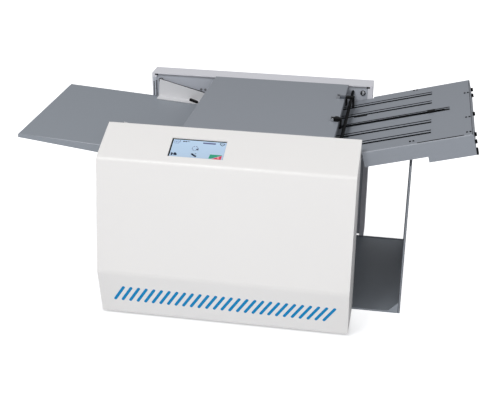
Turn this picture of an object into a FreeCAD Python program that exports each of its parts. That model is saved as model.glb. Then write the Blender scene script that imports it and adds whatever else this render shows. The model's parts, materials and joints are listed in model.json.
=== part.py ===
import FreeCAD, Part
import math
import os

import Sketcher

# Paper folding machine, in millimetres.
# The machine frame has X from the infeed end to the fold plate end, Y from the front fold of the
# control panel to the back, and Z up from the table. The finished machine is set with the middle
# of its floor rectangle at the origin.

# Driving dimensions, one cell of the sheet each
SIZES = {
    # Front housing profile
    "housing_length": 385.0,
    "skin": 2.0,
    "cover_lift": 4.0,
    "fold_height": 258.0,
    "crown_height": 288.0,
    "panel_depth": 72.0,
    "bulge": 26.0,
    "bulge_height": 81.0,
    "toe_reach": 10.0,
    "fold_radius": 7.0,
    "bulge_radius": 24.0,
    "lip_depth": 10.0,
    # Rear housing
    "paper_gap": 251.0,
    "rear_depth": 37.0,
    "rear_height": 287.0,
    "return_width": 6.0,
    "rear_radius": 2.5,
    # Control panel window and display
    "window_left": 105.0,
    "window_length": 83.0,
    "window_low": 15.0,
    "window_width": 40.0,
    "glass_border": 3.0,
    "glass_thick": 1.5,
    "bezel_border": 6.0,
    "bezel_depth": 7.0,
    # Side frames and base
    "frame_sheet": 3.0,
    "frame_end_gap": 3.0,
    "frame_low": 6.0,
    "frame_top": 277.0,
    "rear_frame_top": 283.5,
    "front_rebate": 0.5,
    "rear_inset": 3.0,
    "foot_flange": 28.0,
    "pan_sheet": 2.0,
    "pan_start": 10.0,
    "pan_length": 285.0,
    "pan_rim": 18.0,
    "foot_radius": 9.0,
    "foot_crown_radius": 7.0,
    "foot_margin": 24.0,
    "notch_length": 5.0,
    "notch_drop": 4.0,
    "bar_radius": 5.0,
    "feed_bar_across": 20.0,
    "separator_bar_across": 130.0,
    "low_bar_across": 285.0,
    "low_bar_height": 104.0,
    "keeper_across": 352.0,
    "keeper_height": 275.0,
    "keeper_radius": 2.5,
    # Rollers, shafts and bushings
    "roller_radius": 15.0,
    "nip": 0.3,
    "shaft_radius": 5.0,
    "second_across": 275.8,
    "second_height": 216.3,
    "turn_angle": 8.0,
    "seal_across": 344.0,
    "seal_height": 177.0,
    "feed_across": 130.0,
    "feed_height": 255.2,
    "tyre_radius": 17.0,
    "tyre_width": 26.0,
    "tyre_spacing": 52.0,
    "roller_end_gap": 4.0,
    "bush_wall": 2.5,
    "bush_flange": 2.5,
    "bush_flange_wall": 1.5,
    "running_clearance": 0.05,
    "shaft_stub": 1.0,
    # Gears behind the rear frame
    "gear_teeth": 20.0,
    "gear_width": 8.0,
    "gear_gap": 1.5,
    "tooth_head_share": 0.85,
    "tooth_root_share": 1.2,
    "tooth_tip_share": 0.30,
    "tooth_foot_share": 1.05,
    # Pulleys and belts in front of the front frame
    "pulley_width": 10.0,
    "pulley_rim": 1.0,
    "pulley_rim_height": 2.5,
    "roller_pulley_radius": 13.0,
    "motor_pulley_radius": 9.0,
    "pulley_gap": 2.0,
    "belt_thick": 1.6,
    "belt_width": 6.0,
    "belt_clearance": 0.3,
    # Drive motor
    "motor_across": 245.0,
    "motor_height": 60.0,
    "motor_radius": 27.0,
    "motor_length": 66.0,
    "motor_boss_radius": 11.0,
    "motor_shaft_radius": 4.0,
    "motor_face_side": 56.0,
    "motor_face_thick": 6.0,
    # First fold plate, rising to the right from the housings' ends
    "plate_tilt": 14.6,
    "plate_height": 266.6,
    "plate_reach": 163.5,
    "plate_inner": 92.0,
    "plate_side_gap": 1.0,
    "plate_wing": 7.0,
    "plate_wing_start": 3.0,
    "plate_sheet": 1.5,
    "plate_throat": 5.5,
    "plate_flange_start": 0.5,
    "plate_flange_depth": 23.0,
    "plate_step_at": 94.5,
    "plate_step_depth": 32.0,
    "slot_width": 14.5,
    "front_slit": 5.0,
    "thumb_slit": 9.8,
    "back_slit": 2.5,
    "slot_pitch": 44.4,
    "slot_shift": 6.4,
    "slot_end": 102.0,
    "middle_slot_end": 130.0,
    "slit_start": 82.0,
    "slit_length": 68.0,
    "slit_width": 2.0,
    "slit_inset": 3.2,
    "plate_slot_start": 78.0,
    "rail_width": 9.0,
    "rail_thick": 3.0,
    "rail_start": 90.0,
    "rail_length": 78.0,
    "slide_gap": 0.3,
    "bolt_head_radius": 3.1,
    "bolt_head_length": 3.6,
    "bolt_head_drop": 13.5,
    "bolt_margin": 6.5,
    "bolt_pair_pitch": 29.5,
    "pad_length": 3.0,
    "pad_across": 12.0,
    "pad_height": 7.0,
    "bumper_length": 8.0,
    "bumper_proud": 0.5,
    "finger_start": 24.0,
    "finger_length": 21.0,
    "finger_width": 4.5,
    "finger_thick": 0.8,
    "plate_screw_radius": 1.5,
    "plate_screw_height": 0.9,
    "plate_screw_pair": 5.0,
    "step_screw_at": 71.5,
    "end_screw_at": 154.5,
    "near_screw_margin": 13.7,
    "far_screw_margin": 5.5,
    "second_screw_back": 77.0,
    "third_screw_back": 190.5,
    "plate_bend": 1.2,
    # Fold stops
    "stop_bar_at": 98.0,
    "stop_bar_length": 7.0,
    "stop_gap": 0.4,
    "thumb_length": 11.5,
    "thumb_width": 8.0,
    "thumb_gap": 0.9,
    "thumb_height": 2.6,
    # Second fold plate, falling to the left below the rollers
    "lower_tilt": 45.0,
    "lower_across": 279.0,
    "lower_height": 189.0,
    "lower_length": 172.0,
    "lower_stop_at": 120.0,
    "lower_slot_length": 110.0,
    "lower_slot_margin": 22.0,
    # Infeed tray, rising to the left
    "tray_tilt": 4.0,
    "tray_height": 246.3,
    "tray_reach": 150.4,
    "tray_inner": 96.0,
    "tray_sheet": 1.6,
    "tray_side_gap": 1.0,
    "tray_flange_outer": 6.0,
    "tray_flange_inner": 13.4,
    "tray_flange_end": 3.0,
    "tray_bend": 1.2,
    # Separator and feed deck
    "separator_length": 58.0,
    "separator_start": 99.5,
    "separator_width": 92.0,
    "separator_tall": 29.6,
    "separator_slope": 9.0,
    "pad_thick": 2.0,
    "pad_gap": 0.6,
    "pad_reach": 24.0,
    "deck_start": 161.0,
    "deck_end": 256.0,
    "deck_height": 233.5,
    "deck_sheet": 1.5,
    "deck_hem": 9.0,
    "exit_start": 362.0,
    "exit_height": 189.0,
    "exit_length": 14.0,
    "exit_tilt": 22.0,
    # Side guides on the tray
    "paper_width": 216.0,
    "guide_start": 12.0,
    "guide_length": 81.0,
    "guide_high": 32.0,
    "guide_low": 17.0,
    "guide_sheet": 1.5,
    "guide_foot": 16.0,
    "guide_foot_sheet": 1.2,
    "guide_gap": 0.3,
    "guide_knob_length": 19.0,
    "guide_knob_width": 4.5,
    "guide_knob_height": 3.5,
    "guide_knob_at": 76.8,
    "guide_knob_out": 9.0,
    "guide_knob_turn": 30.0,
    "guide_knob_corner": 1.3,
    # Top cover and its catches
    "cover_start": 114.0,
    "cover_length": 230.0,
    "cover_sheet": 2.0,
    "cover_side_gap": 0.6,
    "cover_flange": 10.0,
    "cover_radius": 1.2,
    "ear_length": 16.0,
    "ear_sheet": 2.0,
    "ear_drop": 21.0,
    "cover_pin_radius": 3.0,
    "cover_pin_inset": 7.0,
    "cover_pin_height": 271.0,
    "cover_pin_gap": 0.05,
    "catch_spacing": 53.5,
    "catch_width": 7.0,
    "catch_arm_thick": 3.2,
    "catch_arm_start": 331.0,
    "catch_lift": 0.4,
    "catch_wall": 3.6,
    "catch_leg_gap": 1.6,
    "catch_leg_depth": 14.5,
    "front_leg_wall": 3.0,
    "front_leg_gap": 1.4,
    "front_leg_depth": 12.0,
    "catch_pin_radius": 0.8,
    "catch_pin_inset": 2.5,
    "catch_lug_wall": 2.0,
    "catch_lug_length": 5.0,
    "catch_lug_height": 4.6,
    "catch_side_gap": 0.3,
    # Output tray
    "output_end": 460.0,
    "output_sheet": 1.6,
    "output_rim": 3.0,
    "output_joint": 16.0,
    "output_wall_height": 251.0,
    "output_fold": 3.5,
    "output_ear_start": 8.0,
    "output_ear_length": 56.0,
    "output_ear_height": 12.0,
    "gusset_side": 19.0,
    # Electrical parts
    "supply_start": 14.0,
    "supply_length": 108.0,
    "supply_near": 92.0,
    "supply_width": 120.0,
    "supply_height": 38.0,
    "board_start": 30.0,
    "board_length": 118.0,
    "board_low": 64.0,
    "board_width": 118.0,
    "board_thick": 1.6,
    "board_standoff": 8.0,
    "standoff_radius": 3.0,
    "standoff_inset": 8.0,
    "chip_side": 16.0,
    "chip_height": 3.5,
    "relay_length": 22.0,
    "relay_width": 14.0,
    "relay_height": 12.0,
    "inlet_across": 46.0,
    "inlet_height": 46.0,
    "inlet_width": 28.0,
    "inlet_tall": 22.0,
    "inlet_depth": 18.0,
    "inlet_rim": 3.0,
    "inlet_rim_thick": 1.5,
    "inlet_wall": 2.0,
    "inlet_pin_radius": 1.5,
    "inlet_pin_pitch": 7.0,
    "switch_across": 84.0,
    "switch_width": 14.0,
    "switch_tall": 22.0,
    "switch_wall": 1.5,
    "rocker_gap": 0.5,
    "rocker_half": 9.6,
    "rocker_back": 2.6,
    "rocker_pin_radius": 1.2,
    "rocker_depth": 8.0,
    "rocker_proud": 3.2,
    "rocker_dip": 1.2,
    "rocker_pin_depth": 6.0,
    # Screws
    "screw_radius": 2.0,
    "screw_head_radius": 3.6,
    "screw_head_height": 1.8,
    "screw_inset": 13.0,
    "screw_drop": 6.0,
    "overrun": 1.0,
}


class Size:
    """A length, share or angle that carries its value and the formula that gives it."""

    def __init__(self, value, formula):
        self.value = float(value)
        self.formula = formula

    def __add__(self, other):
        other = size(other)
        return Size(self.value + other.value, f"({self.formula} + {other.formula})")

    def __sub__(self, other):
        other = size(other)
        return Size(self.value - other.value, f"({self.formula} - {other.formula})")

    def __mul__(self, other):
        other = size(other)
        return Size(self.value * other.value, f"({self.formula} * {other.formula})")

    def __truediv__(self, other):
        other = size(other)
        return Size(self.value / other.value, f"({self.formula} / {other.formula})")

    def __rsub__(self, other):
        return size(other) - self

    def __neg__(self):
        return Size(-self.value, f"(0 - {self.formula})")

    __radd__ = __add__
    __rmul__ = __mul__


def size(value):
    """Give a plain number the same form as a named size."""
    return value if isinstance(value, Size) else Size(value, repr(value))


def sine(angle):
    return Size(math.sin(math.radians(angle.value)), f"sin({angle.formula})")


def cosine(angle):
    return Size(math.cos(math.radians(angle.value)), f"cos({angle.formula})")


class Sheet:
    """The named sizes, each bound to its own cell."""

    def __init__(self, document, values):
        self.cells = document.addObject("Spreadsheet::Sheet", "Sizes")
        for row, (name, value) in enumerate(values.items(), start=1):
            self.cells.set(f"A{row}", name)
            self.cells.set(f"B{row}", str(value))
            self.cells.setAlias(f"B{row}", name)
            setattr(self, name, Size(value, f"Sizes.{name}"))


doc = FreeCAD.newDocument("folding_machine")
SIZES["middle_across"] = 0.0
SIZES["middle_back"] = 0.0
s = Sheet(doc, SIZES)
doc.recompute()

pieces = []

PLANES = {"XY": "XY_Plane", "XZ": "XZ_Plane", "YZ": "YZ_Plane"}


def place(piece, across=0, back=0, up=0, tilt=None, rising=True):
    """Set a finished piece in the machine; tilt turns it about Y, rising lifts its right end."""
    if tilt is not None:
        axis = FreeCAD.Vector(0, -1 if rising else 1, 0)
        piece.Placement = FreeCAD.Placement(FreeCAD.Vector(), FreeCAD.Rotation(axis, tilt.value))
        piece.setExpression("Placement.Rotation.Angle", tilt.formula)
    piece.setExpression("Placement.Base.x", (size(across) - s.middle_across).formula)
    piece.setExpression("Placement.Base.y", (size(back) - s.middle_back).formula)
    piece.setExpression("Placement.Base.z", size(up).formula)
    pieces.append(piece)
    return piece


def new_body(name):
    body = doc.addObject("PartDesign::Body", name)
    body.Label = name
    return body


def new_sketch(body, plane, away=0):
    """A sketch on one of the body's own planes, moved along that plane's machine axis."""
    sketch = body.newObject("Sketcher::SketchObject", f"{body.Name}_sketch")
    support = [item for item in body.Origin.OriginFeatures if item.Role == PLANES[plane]][0]
    sketch.AttachmentSupport = [(support, "")]
    sketch.MapMode = "FlatFace"
    away = -size(away) if plane == "XZ" else size(away)
    sketch.setExpression("AttachmentOffset.Base.z", away.formula)
    return sketch


def pin_point(sketch, line, end, point):
    """Hold one end of a line at a place worked out from the sizes."""
    for kind, value in (("DistanceX", size(point[0])), ("DistanceY", size(point[1]))):
        number = sketch.addConstraint(Sketcher.Constraint(kind, -1, 1, line, end, value.value))
        sketch.setExpression(f"Constraints[{number}]", value.formula)


def polygon(sketch, points):
    """A closed outline through points given in sizes."""
    flat = [FreeCAD.Vector(size(u).value, size(v).value, 0) for u, v in points]
    first = sketch.GeometryCount
    count = len(points)
    for i in range(count):
        sketch.addGeometry(Part.LineSegment(flat[i], flat[(i + 1) % count]), False)
    for i in range(count):
        follower = first + (i + 1) % count
        sketch.addConstraint(Sketcher.Constraint("Coincident", first + i, 2, follower, 1))
        pin_point(sketch, first + i, 1, points[i])


def circle(sketch, centre, radius):
    spot = FreeCAD.Vector(size(centre[0]).value, size(centre[1]).value, 0)
    line = sketch.addGeometry(Part.Circle(spot, FreeCAD.Vector(0, 0, 1), radius.value), False)
    pin_point(sketch, line, 3, centre)
    number = sketch.addConstraint(Sketcher.Constraint("Radius", line, radius.value))
    sketch.setExpression(f"Constraints[{number}]", size(radius).formula)


def rectangle(sketch, corner, length, width):
    u, v = size(corner[0]), size(corner[1])
    polygon(sketch, [(u, v), (u + length, v), (u + length, v + width), (u, v + width)])


def pad(body, sketch, length):
    """Raise the sketch along its plane's machine axis."""
    feature = body.newObject("PartDesign::Pad", f"{body.Name}_pad")
    feature.Profile = sketch
    feature.setExpression("Length", size(length).formula)
    feature.Reversed = "XZ" in sketch.AttachmentSupport[0][0].Role
    sketch.Visibility = False
    return feature


def pocket(body, sketch, length, forward=True):
    """Cut the sketch along its plane's machine axis, or against it."""
    doc.recompute()
    before = body.Shape.Volume
    feature = body.newObject("PartDesign::Pocket", f"{body.Name}_pocket")
    feature.Profile = sketch
    feature.setExpression("Length", size(length).formula)
    along_normal = forward != ("XZ" in sketch.AttachmentSupport[0][0].Role)
    feature.Reversed = along_normal
    doc.recompute()
    if body.Shape.Volume >= before:
        raise ValueError(f"{body.Name}: a pocket cut nothing")
    return feature


def edges_near(shape, test):
    """The names of the edges whose middle passes the test."""
    names = []
    for number, edge in enumerate(shape.Edges, start=1):
        middle = edge.valueAt((edge.FirstParameter + edge.LastParameter) / 2)
        if test(middle, edge):
            names.append(f"Edge{number}")
    return names


def faces_near(shape, test):
    names = []
    for number, face in enumerate(shape.Faces, start=1):
        if test(face.CenterOfMass, face):
            names.append(f"Face{number}")
    return names


def fillet(body, feature, test, radius):
    doc.recompute()
    rounded = body.newObject("PartDesign::Fillet", f"{body.Name}_fillet")
    rounded.Base = (feature, edges_near(feature.Shape, test))
    rounded.setExpression("Radius", size(radius).formula)
    return rounded


def hollow(body, feature, test, wall):
    """Turn the solid into a sheet shell, open at the faces that pass the test."""
    doc.recompute()
    shell = body.newObject("PartDesign::Thickness", f"{body.Name}_shell")
    shell.Base = (feature, faces_near(feature.Shape, test))
    shell.setExpression("Value", size(wall).formula)
    shell.Reversed = True
    shell.Join = 1
    doc.recompute()
    return shell


def turned(name, outline, across, up):
    """A piece turned about a shaft line that runs front to back; outline is (radius, back)."""
    body = new_body(name)
    sketch = new_sketch(body, "XY")
    polygon(sketch, outline)
    turn = body.newObject("PartDesign::Revolution", f"{name}_turn")
    turn.Profile = sketch
    turn.ReferenceAxis = (sketch, ["V_Axis"])
    turn.Angle = 360
    return place(body, across, 0, up)


def block(name, corner, spans):
    """A plain rectangular solid at a machine corner."""
    solid = doc.addObject("Part::Box", name)
    for prop, span in zip(("Length", "Width", "Height"), spans):
        solid.setExpression(prop, size(span).formula)
    for axis, where in zip("xyz", corner):
        solid.setExpression(f"Placement.Base.{axis}", size(where).formula)
    return solid


def rod(name, foot, radius, length, along="z"):
    """A plain round solid that starts at foot and runs along one machine axis."""
    solid = doc.addObject("Part::Cylinder", name)
    turns = {"z": (0, 0, 1, 0), "x": (0, 1, 0, 90), "y": (1, 0, 0, -90)}
    ax, ay, az, angle = turns[along]
    turn = FreeCAD.Rotation(FreeCAD.Vector(ax, ay, az), angle)
    solid.Placement = FreeCAD.Placement(FreeCAD.Vector(), turn)
    solid.setExpression("Radius", size(radius).formula)
    solid.setExpression("Height", size(length).formula)
    for axis, where in zip("xyz", foot):
        solid.setExpression(f"Placement.Base.{axis}", size(where).formula)
    return solid


def group(name, solids):
    """Several separate solids of one kind under one name."""
    joined = doc.addObject("Part::Compound", name)
    joined.Label = name
    joined.Links = solids
    return joined


def cut(name, base, tool):
    result = doc.addObject("Part::Cut", name)
    result.Label = name
    result.Base = base
    result.Tool = tool
    return result


def fuse(name, solids):
    result = doc.addObject("Part::MultiFuse", name)
    result.Label = name
    result.Shapes = solids
    return result


# Places worked out from the driving sizes
rear_face = s.panel_depth + s.paper_gap
rear_back = rear_face + s.rear_depth
front_frame_inner = s.panel_depth - s.front_rebate
front_frame_outer = front_frame_inner - s.frame_sheet
rear_frame_inner = rear_face + s.rear_inset
rear_frame_outer = rear_frame_inner + s.frame_sheet
frame_start = s.frame_end_gap
frame_length = s.housing_length - 2 * s.frame_end_gap
frame_span = rear_frame_inner - front_frame_inner

roller_pitch = 2 * s.roller_radius + s.nip
turn_sine = sine(s.turn_angle)
turn_cosine = cosine(s.turn_angle)
second = (s.second_across, s.second_height)
first = (second[0] - roller_pitch * sine(s.plate_tilt), second[1] + roller_pitch * cosine(s.plate_tilt))
third = (second[0] + roller_pitch * turn_cosine, second[1] - roller_pitch * turn_sine)
fourth = (third[0] - roller_pitch * turn_sine, third[1] - roller_pitch * turn_cosine)
seal_lower = (s.seal_across, s.seal_height)
seal_upper = (s.seal_across, s.seal_height + roller_pitch)
feed = (s.feed_across, s.feed_height)
motor = (s.motor_across, s.motor_height)
shafts = [first, second, third, fourth, seal_lower, seal_upper, feed]

separator_top = s.feed_height - s.tyre_radius - s.pad_gap - s.pad_thick
separator_low = separator_top - s.separator_tall

bush_bore = s.shaft_radius + s.running_clearance
bush_radius = bush_bore + s.bush_wall
bush_flange_radius = bush_radius + s.bush_flange
gear_near = rear_frame_outer + s.bush_flange_wall + s.gear_gap
gear_far = gear_near + s.gear_width
feed_row_far = front_frame_outer - s.bush_flange_wall - s.pulley_gap
feed_row_near = feed_row_far - s.pulley_width
drive_row_far = feed_row_near - s.pulley_gap
drive_row_near = drive_row_far - s.pulley_width
front_stub = front_frame_outer - s.bush_flange_wall - s.shaft_stub
rear_stub = rear_frame_outer + s.bush_flange_wall + s.shaft_stub


# Front cover: a bent and folded sheet shell with end walls, open at the back and underneath
def front_cover():
    body = new_body("front_cover")
    sketch = new_sketch(body, "YZ")
    polygon(sketch, [
        (s.panel_depth, s.cover_lift),
        (s.panel_depth, s.crown_height),
        (0, s.fold_height),
        (-s.bulge, s.bulge_height),
        (-s.toe_reach, s.cover_lift),
    ])
    solid = pad(body, sketch, s.housing_length)
    full_length = s.housing_length.value - s.skin.value

    def is_fold(middle, edge):
        on_line = edge.Length > full_length and middle.y < s.panel_depth.value / 2
        return on_line and middle.z > s.bulge_height.value + s.fold_radius.value

    def is_bulge(middle, edge):
        return edge.Length > full_length and middle.y < -s.toe_reach.value - s.skin.value

    soft = fillet(body, solid, is_fold, s.fold_radius)
    soft = fillet(body, soft, is_bulge, s.bulge_radius)

    def is_open(centre, face):
        at_back = abs(centre.y - s.panel_depth.value) < s.skin.value / 2
        return at_back or abs(centre.z - s.cover_lift.value) < s.skin.value / 2

    hollow(body, soft, is_open, s.skin)
    lip = new_sketch(body, "YZ", s.skin)
    low = s.crown_height - s.lip_depth
    rectangle(lip, (s.panel_depth - s.skin, low), s.skin, s.lip_depth - s.skin)
    pad(body, lip, s.housing_length - 2 * s.skin)
    rise = s.crown_height - s.fold_height
    slope = (rise.value ** 2 + s.panel_depth.value ** 2) ** 0.5
    share_low = s.window_low / slope
    share_high = (s.window_low + s.window_width) / slope
    window = new_sketch(body, "XY", s.fold_height - s.lip_depth)
    near = s.panel_depth * share_low
    rectangle(window, (s.window_left, near), s.window_length, s.panel_depth * share_high - near)
    pocket(body, window, s.crown_height, forward=True)
    return place(body)


# Rear cover: a shallow sheet box, open to the front and underneath, with return flanges
def rear_cover():
    body = new_body("rear_cover")
    sketch = new_sketch(body, "YZ")
    height = s.rear_height - s.cover_lift
    rectangle(sketch, (rear_face, s.cover_lift), s.rear_depth, height)
    pad(body, sketch, s.housing_length)
    inside = new_sketch(body, "YZ", s.skin)
    room = (rear_face - s.overrun, s.cover_lift - s.overrun)
    rectangle(inside, room, s.rear_depth - s.skin + s.overrun, height - s.skin + s.overrun)
    hollowed = pocket(body, inside, s.housing_length - 2 * s.skin)

    def is_back_corner(middle, edge):
        at_back = abs(middle.y - rear_back.value) < s.skin.value / 2
        at_end = abs(middle.x - s.housing_length.value / 2) > s.housing_length.value / 2 - s.skin.value / 2
        at_top = abs(middle.z - s.rear_height.value) < s.skin.value / 2
        return at_back and (at_end or at_top) and middle.z > s.cover_lift.value + s.skin.value

    fillet(body, hollowed, is_back_corner, s.rear_radius)
    returns = new_sketch(body, "XZ", rear_face)
    for left in (s.skin, s.housing_length - s.skin - s.return_width):
        rectangle(returns, (left, s.cover_lift), s.return_width, height - s.skin)
    pad(body, returns, s.skin)
    inlet = new_sketch(body, "XZ", rear_back - s.skin - s.overrun)
    low = s.inlet_height - s.inlet_tall / 2
    rectangle(inlet, (s.inlet_across - s.inlet_width / 2, low), s.inlet_width, s.inlet_tall)
    width = s.switch_width + 2 * s.switch_wall
    tall = s.switch_tall + 2 * s.switch_wall
    corner = (s.switch_across - width / 2, s.inlet_height - tall / 2)
    rectangle(inlet, corner, width, tall)
    pocket(body, inlet, s.skin + 2 * s.overrun)
    return place(body)


def screw_places(top):
    """Where the four cover screws go through a side frame."""
    ends = (frame_start + s.screw_inset, frame_start + frame_length - s.screw_inset)
    heights = (s.frame_low + s.screw_inset + s.screw_drop, top - s.screw_drop - s.screw_head_radius)
    return [(across, up) for across in ends for up in heights]


# Side frames: plates that carry every shaft, each with an outward foot flange
def side_frame(name, inner, outer, outward, top):
    body = new_body(name)
    sketch = new_sketch(body, "YZ", frame_start)
    flange = outer - s.foot_flange if outward < 0 else outer + s.foot_flange
    top_of_flange = s.frame_low + s.frame_sheet
    polygon(sketch, [
        (inner, s.frame_low),
        (flange, s.frame_low),
        (flange, top_of_flange),
        (outer, top_of_flange),
        (outer, top),
        (inner, top),
    ])
    pad(body, sketch, frame_length)
    near = inner if outward > 0 else outer
    holes = new_sketch(body, "XZ", near - s.overrun)
    for centre in shafts:
        circle(holes, centre, bush_radius)
    pin_line = s.cover_start + s.cover_pin_inset
    circle(holes, (pin_line, s.cover_pin_height), s.cover_pin_radius + s.cover_pin_gap)
    if outward < 0:
        circle(holes, motor, s.motor_boss_radius)
    for centre in screw_places(top):
        circle(holes, centre, s.screw_radius)
    pocket(body, holes, s.frame_sheet + 2 * s.overrun)
    notches = new_sketch(body, "XZ", near - s.overrun)
    low = top - s.notch_drop
    for left in (frame_start, frame_start + frame_length - s.notch_length):
        rectangle(notches, (left, low), s.notch_length, s.notch_drop + s.overrun)
    pocket(body, notches, s.frame_sheet + 2 * s.overrun)
    return place(body)


def base_pan():
    body = new_body("base_pan")
    sketch = new_sketch(body, "XZ", front_frame_inner)
    left = s.pan_start
    right = left + s.pan_length
    low = s.frame_low
    rim = low + s.pan_rim
    polygon(sketch, [
        (left, low),
        (right, low),
        (right, rim),
        (right - s.pan_sheet, rim),
        (right - s.pan_sheet, low + s.pan_sheet),
        (left + s.pan_sheet, low + s.pan_sheet),
        (left + s.pan_sheet, rim),
        (left, rim),
    ])
    pad(body, sketch, frame_span)
    return place(body)


def feet():
    solids = []
    near = front_frame_outer - s.foot_flange / 2
    far = rear_frame_outer + s.foot_flange / 2
    for across in (s.foot_margin, s.housing_length - s.foot_margin):
        for back in (near, far):
            foot = doc.addObject("Part::Cone", "foot")
            foot.setExpression("Radius1", s.foot_crown_radius.formula)
            foot.setExpression("Radius2", s.foot_radius.formula)
            foot.setExpression("Height", s.frame_low.formula)
            foot.setExpression("Placement.Base.x", across.formula)
            foot.setExpression("Placement.Base.y", back.formula)
            solids.append(foot)
    return place(group("feet", solids))


def tie_bars():
    tray_under = s.tray_height - s.feed_bar_across * sine(s.tray_tilt) / cosine(s.tray_tilt)
    feed_bar_height = tray_under - (s.tray_sheet + s.bar_radius) / cosine(s.tray_tilt)
    separator_bar_height = separator_low - s.bar_radius
    bars = [
        (s.feed_bar_across, feed_bar_height, s.bar_radius),
        (s.separator_bar_across, separator_bar_height, s.bar_radius),
        (s.low_bar_across, s.low_bar_height, s.bar_radius),
        (s.keeper_across, s.keeper_height, s.keeper_radius),
    ]
    solids = [
        rod("tie_bar", (across, front_frame_inner, up), radius, frame_span, "y")
        for across, up, radius in bars
    ]
    return place(group("tie_bars", solids))


def bushings():
    """One flanged bushing in each side frame for every shaft."""
    solids = []
    for across, up in shafts:
        for inner, outer in ((front_frame_inner, front_frame_outer), (rear_frame_inner, rear_frame_outer)):
            outward = -1 if outer.value < inner.value else 1
            flange = outer if outward > 0 else outer - s.bush_flange_wall
            sleeve = inner if outward > 0 else outer
            bush = fuse("bushing_blank", [
                rod("sleeve", (across, sleeve, up), bush_radius, s.frame_sheet, "y"),
                rod("flange", (across, flange, up), bush_flange_radius, s.bush_flange_wall, "y"),
            ])
            low = sleeve if outward > 0 else flange
            bore = rod("bore", (across, low - s.overrun, up), bush_bore,
                       s.frame_sheet + s.bush_flange_wall + 2 * s.overrun, "y")
            solids.append(cut("bushing", bush, bore))
    return place(group("bushings", solids))


def frame_screws():
    """Round-headed screws through the side frames, heads towards the paper path."""
    solids = []
    for inner, outer, top in (
        (front_frame_inner, front_frame_outer, s.frame_top),
        (rear_frame_inner, rear_frame_outer, s.rear_frame_top),
    ):
        forward = inner.value > outer.value
        head = inner if forward else inner - s.screw_head_height
        shank = outer if forward else inner
        for across, up in screw_places(top):
            parts = [
                rod("screw_head", (across, head, up), s.screw_head_radius, s.screw_head_height, "y"),
                rod("screw_shank", (across, shank, up), s.screw_radius, s.frame_sheet, "y"),
            ]
            solids.append(fuse("frame_screw", parts))
    return place(group("frame_screws", solids))


# Fold rollers and seal rollers, each one turned piece with its shaft
def roller(name, centre, front_end, rear_end):
    near = front_frame_inner + s.roller_end_gap
    far = rear_frame_inner - s.roller_end_gap
    return turned(name, [
        (0, front_end),
        (s.shaft_radius, front_end),
        (s.shaft_radius, near),
        (s.roller_radius, near),
        (s.roller_radius, far),
        (s.shaft_radius, far),
        (s.shaft_radius, rear_end),
        (0, rear_end),
    ], *centre)


# Spur gear: a root disc with one tooth repeated round it
def gear(name, centre, phase=None):
    module = roller_pitch / s.gear_teeth
    pitch_radius = roller_pitch / 2
    root = pitch_radius - s.tooth_root_share * module
    head = pitch_radius + s.tooth_head_share * module
    body = new_body(name)
    disc = new_sketch(body, "XZ")
    circle(disc, (0, 0), root)
    circle(disc, (0, 0), s.shaft_radius)
    pad(body, disc, s.gear_width)
    tooth = new_sketch(body, "XZ")
    foot_half = s.tooth_foot_share * module
    tip_half = s.tooth_tip_share * module
    sunk = root - module / 2
    polygon(tooth, [(sunk, -foot_half), (head, -tip_half), (head, tip_half), (sunk, foot_half)])
    one = pad(body, tooth, s.gear_width)
    ring = body.newObject("PartDesign::PolarPattern", f"{name}_teeth")
    ring.Originals = [one]
    ring.Axis = (disc, ["N_Axis"])
    ring.Angle = 360
    ring.Occurrences = int(s.gear_teeth.value)
    body.Tip = ring
    return place(body, centre[0], gear_near, centre[1], phase)


def pulley_outline(radius, bore, near, far):
    brim = radius + s.pulley_rim_height
    return [
        (bore, near),
        (brim, near),
        (brim, near + s.pulley_rim),
        (radius, near + s.pulley_rim),
        (radius, far - s.pulley_rim),
        (brim, far - s.pulley_rim),
        (brim, far),
        (bore, far),
    ]


def roller_pulley(name, centre, near, far):
    outline = pulley_outline(s.roller_pulley_radius, s.shaft_radius, near, far)
    return turned(name, outline, *centre)


# Belt: a flat band on straight tangents and arcs round its pulleys, listed anticlockwise
def belt_wire(circles, back, added):
    count = len(circles)
    leaves = []
    for i in range(count):
        (x1, z1, r1), (x2, z2, r2) = circles[i], circles[(i + 1) % count]
        span = math.hypot(x2 - x1, z2 - z1)
        dx, dz = (x2 - x1) / span, (z2 - z1) / span
        lean = (r1 - r2) / span
        level = math.sqrt(1 - lean ** 2)
        leaves.append((dx * lean + dz * level, dz * lean - dx * level))
    edges = []
    for i in range(count):
        x, z, radius = circles[i]
        radius += added
        turn_in, turn_out = leaves[i - 1], leaves[i]
        start = math.atan2(turn_in[1], turn_in[0])
        sweep = (math.atan2(turn_out[1], turn_out[0]) - start) % math.tau
        arc = [
            FreeCAD.Vector(x + radius * math.cos(start + sweep * part), back,
                           z + radius * math.sin(start + sweep * part))
            for part in (0, 1 / 2, 1)
        ]
        edges.append(Part.Arc(*arc).toShape())
        x2, z2, r2 = circles[(i + 1) % count]
        r2 += added
        landing = FreeCAD.Vector(x2 + r2 * turn_out[0], back, z2 + r2 * turn_out[1])
        edges.append(Part.LineSegment(arc[2], landing).toShape())
    return Part.Wire(edges)


def belt(name, pulleys, near):
    back = (near + (s.pulley_width - s.belt_width) / 2).value
    circles = [(c[0].value, c[1].value, r.value) for c, r in pulleys]
    inner = belt_wire(circles, back, s.belt_clearance.value)
    outer = belt_wire(circles, back, (s.belt_clearance + s.belt_thick).value)
    ring = Part.makeFace([outer, inner], "Part::FaceMakerBullseye")
    band = ring.extrude(FreeCAD.Vector(0, s.belt_width.value, 0))
    feature = doc.addObject("Part::Feature", name)
    feature.Label = name
    feature.Shape = band
    return place(feature)


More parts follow.
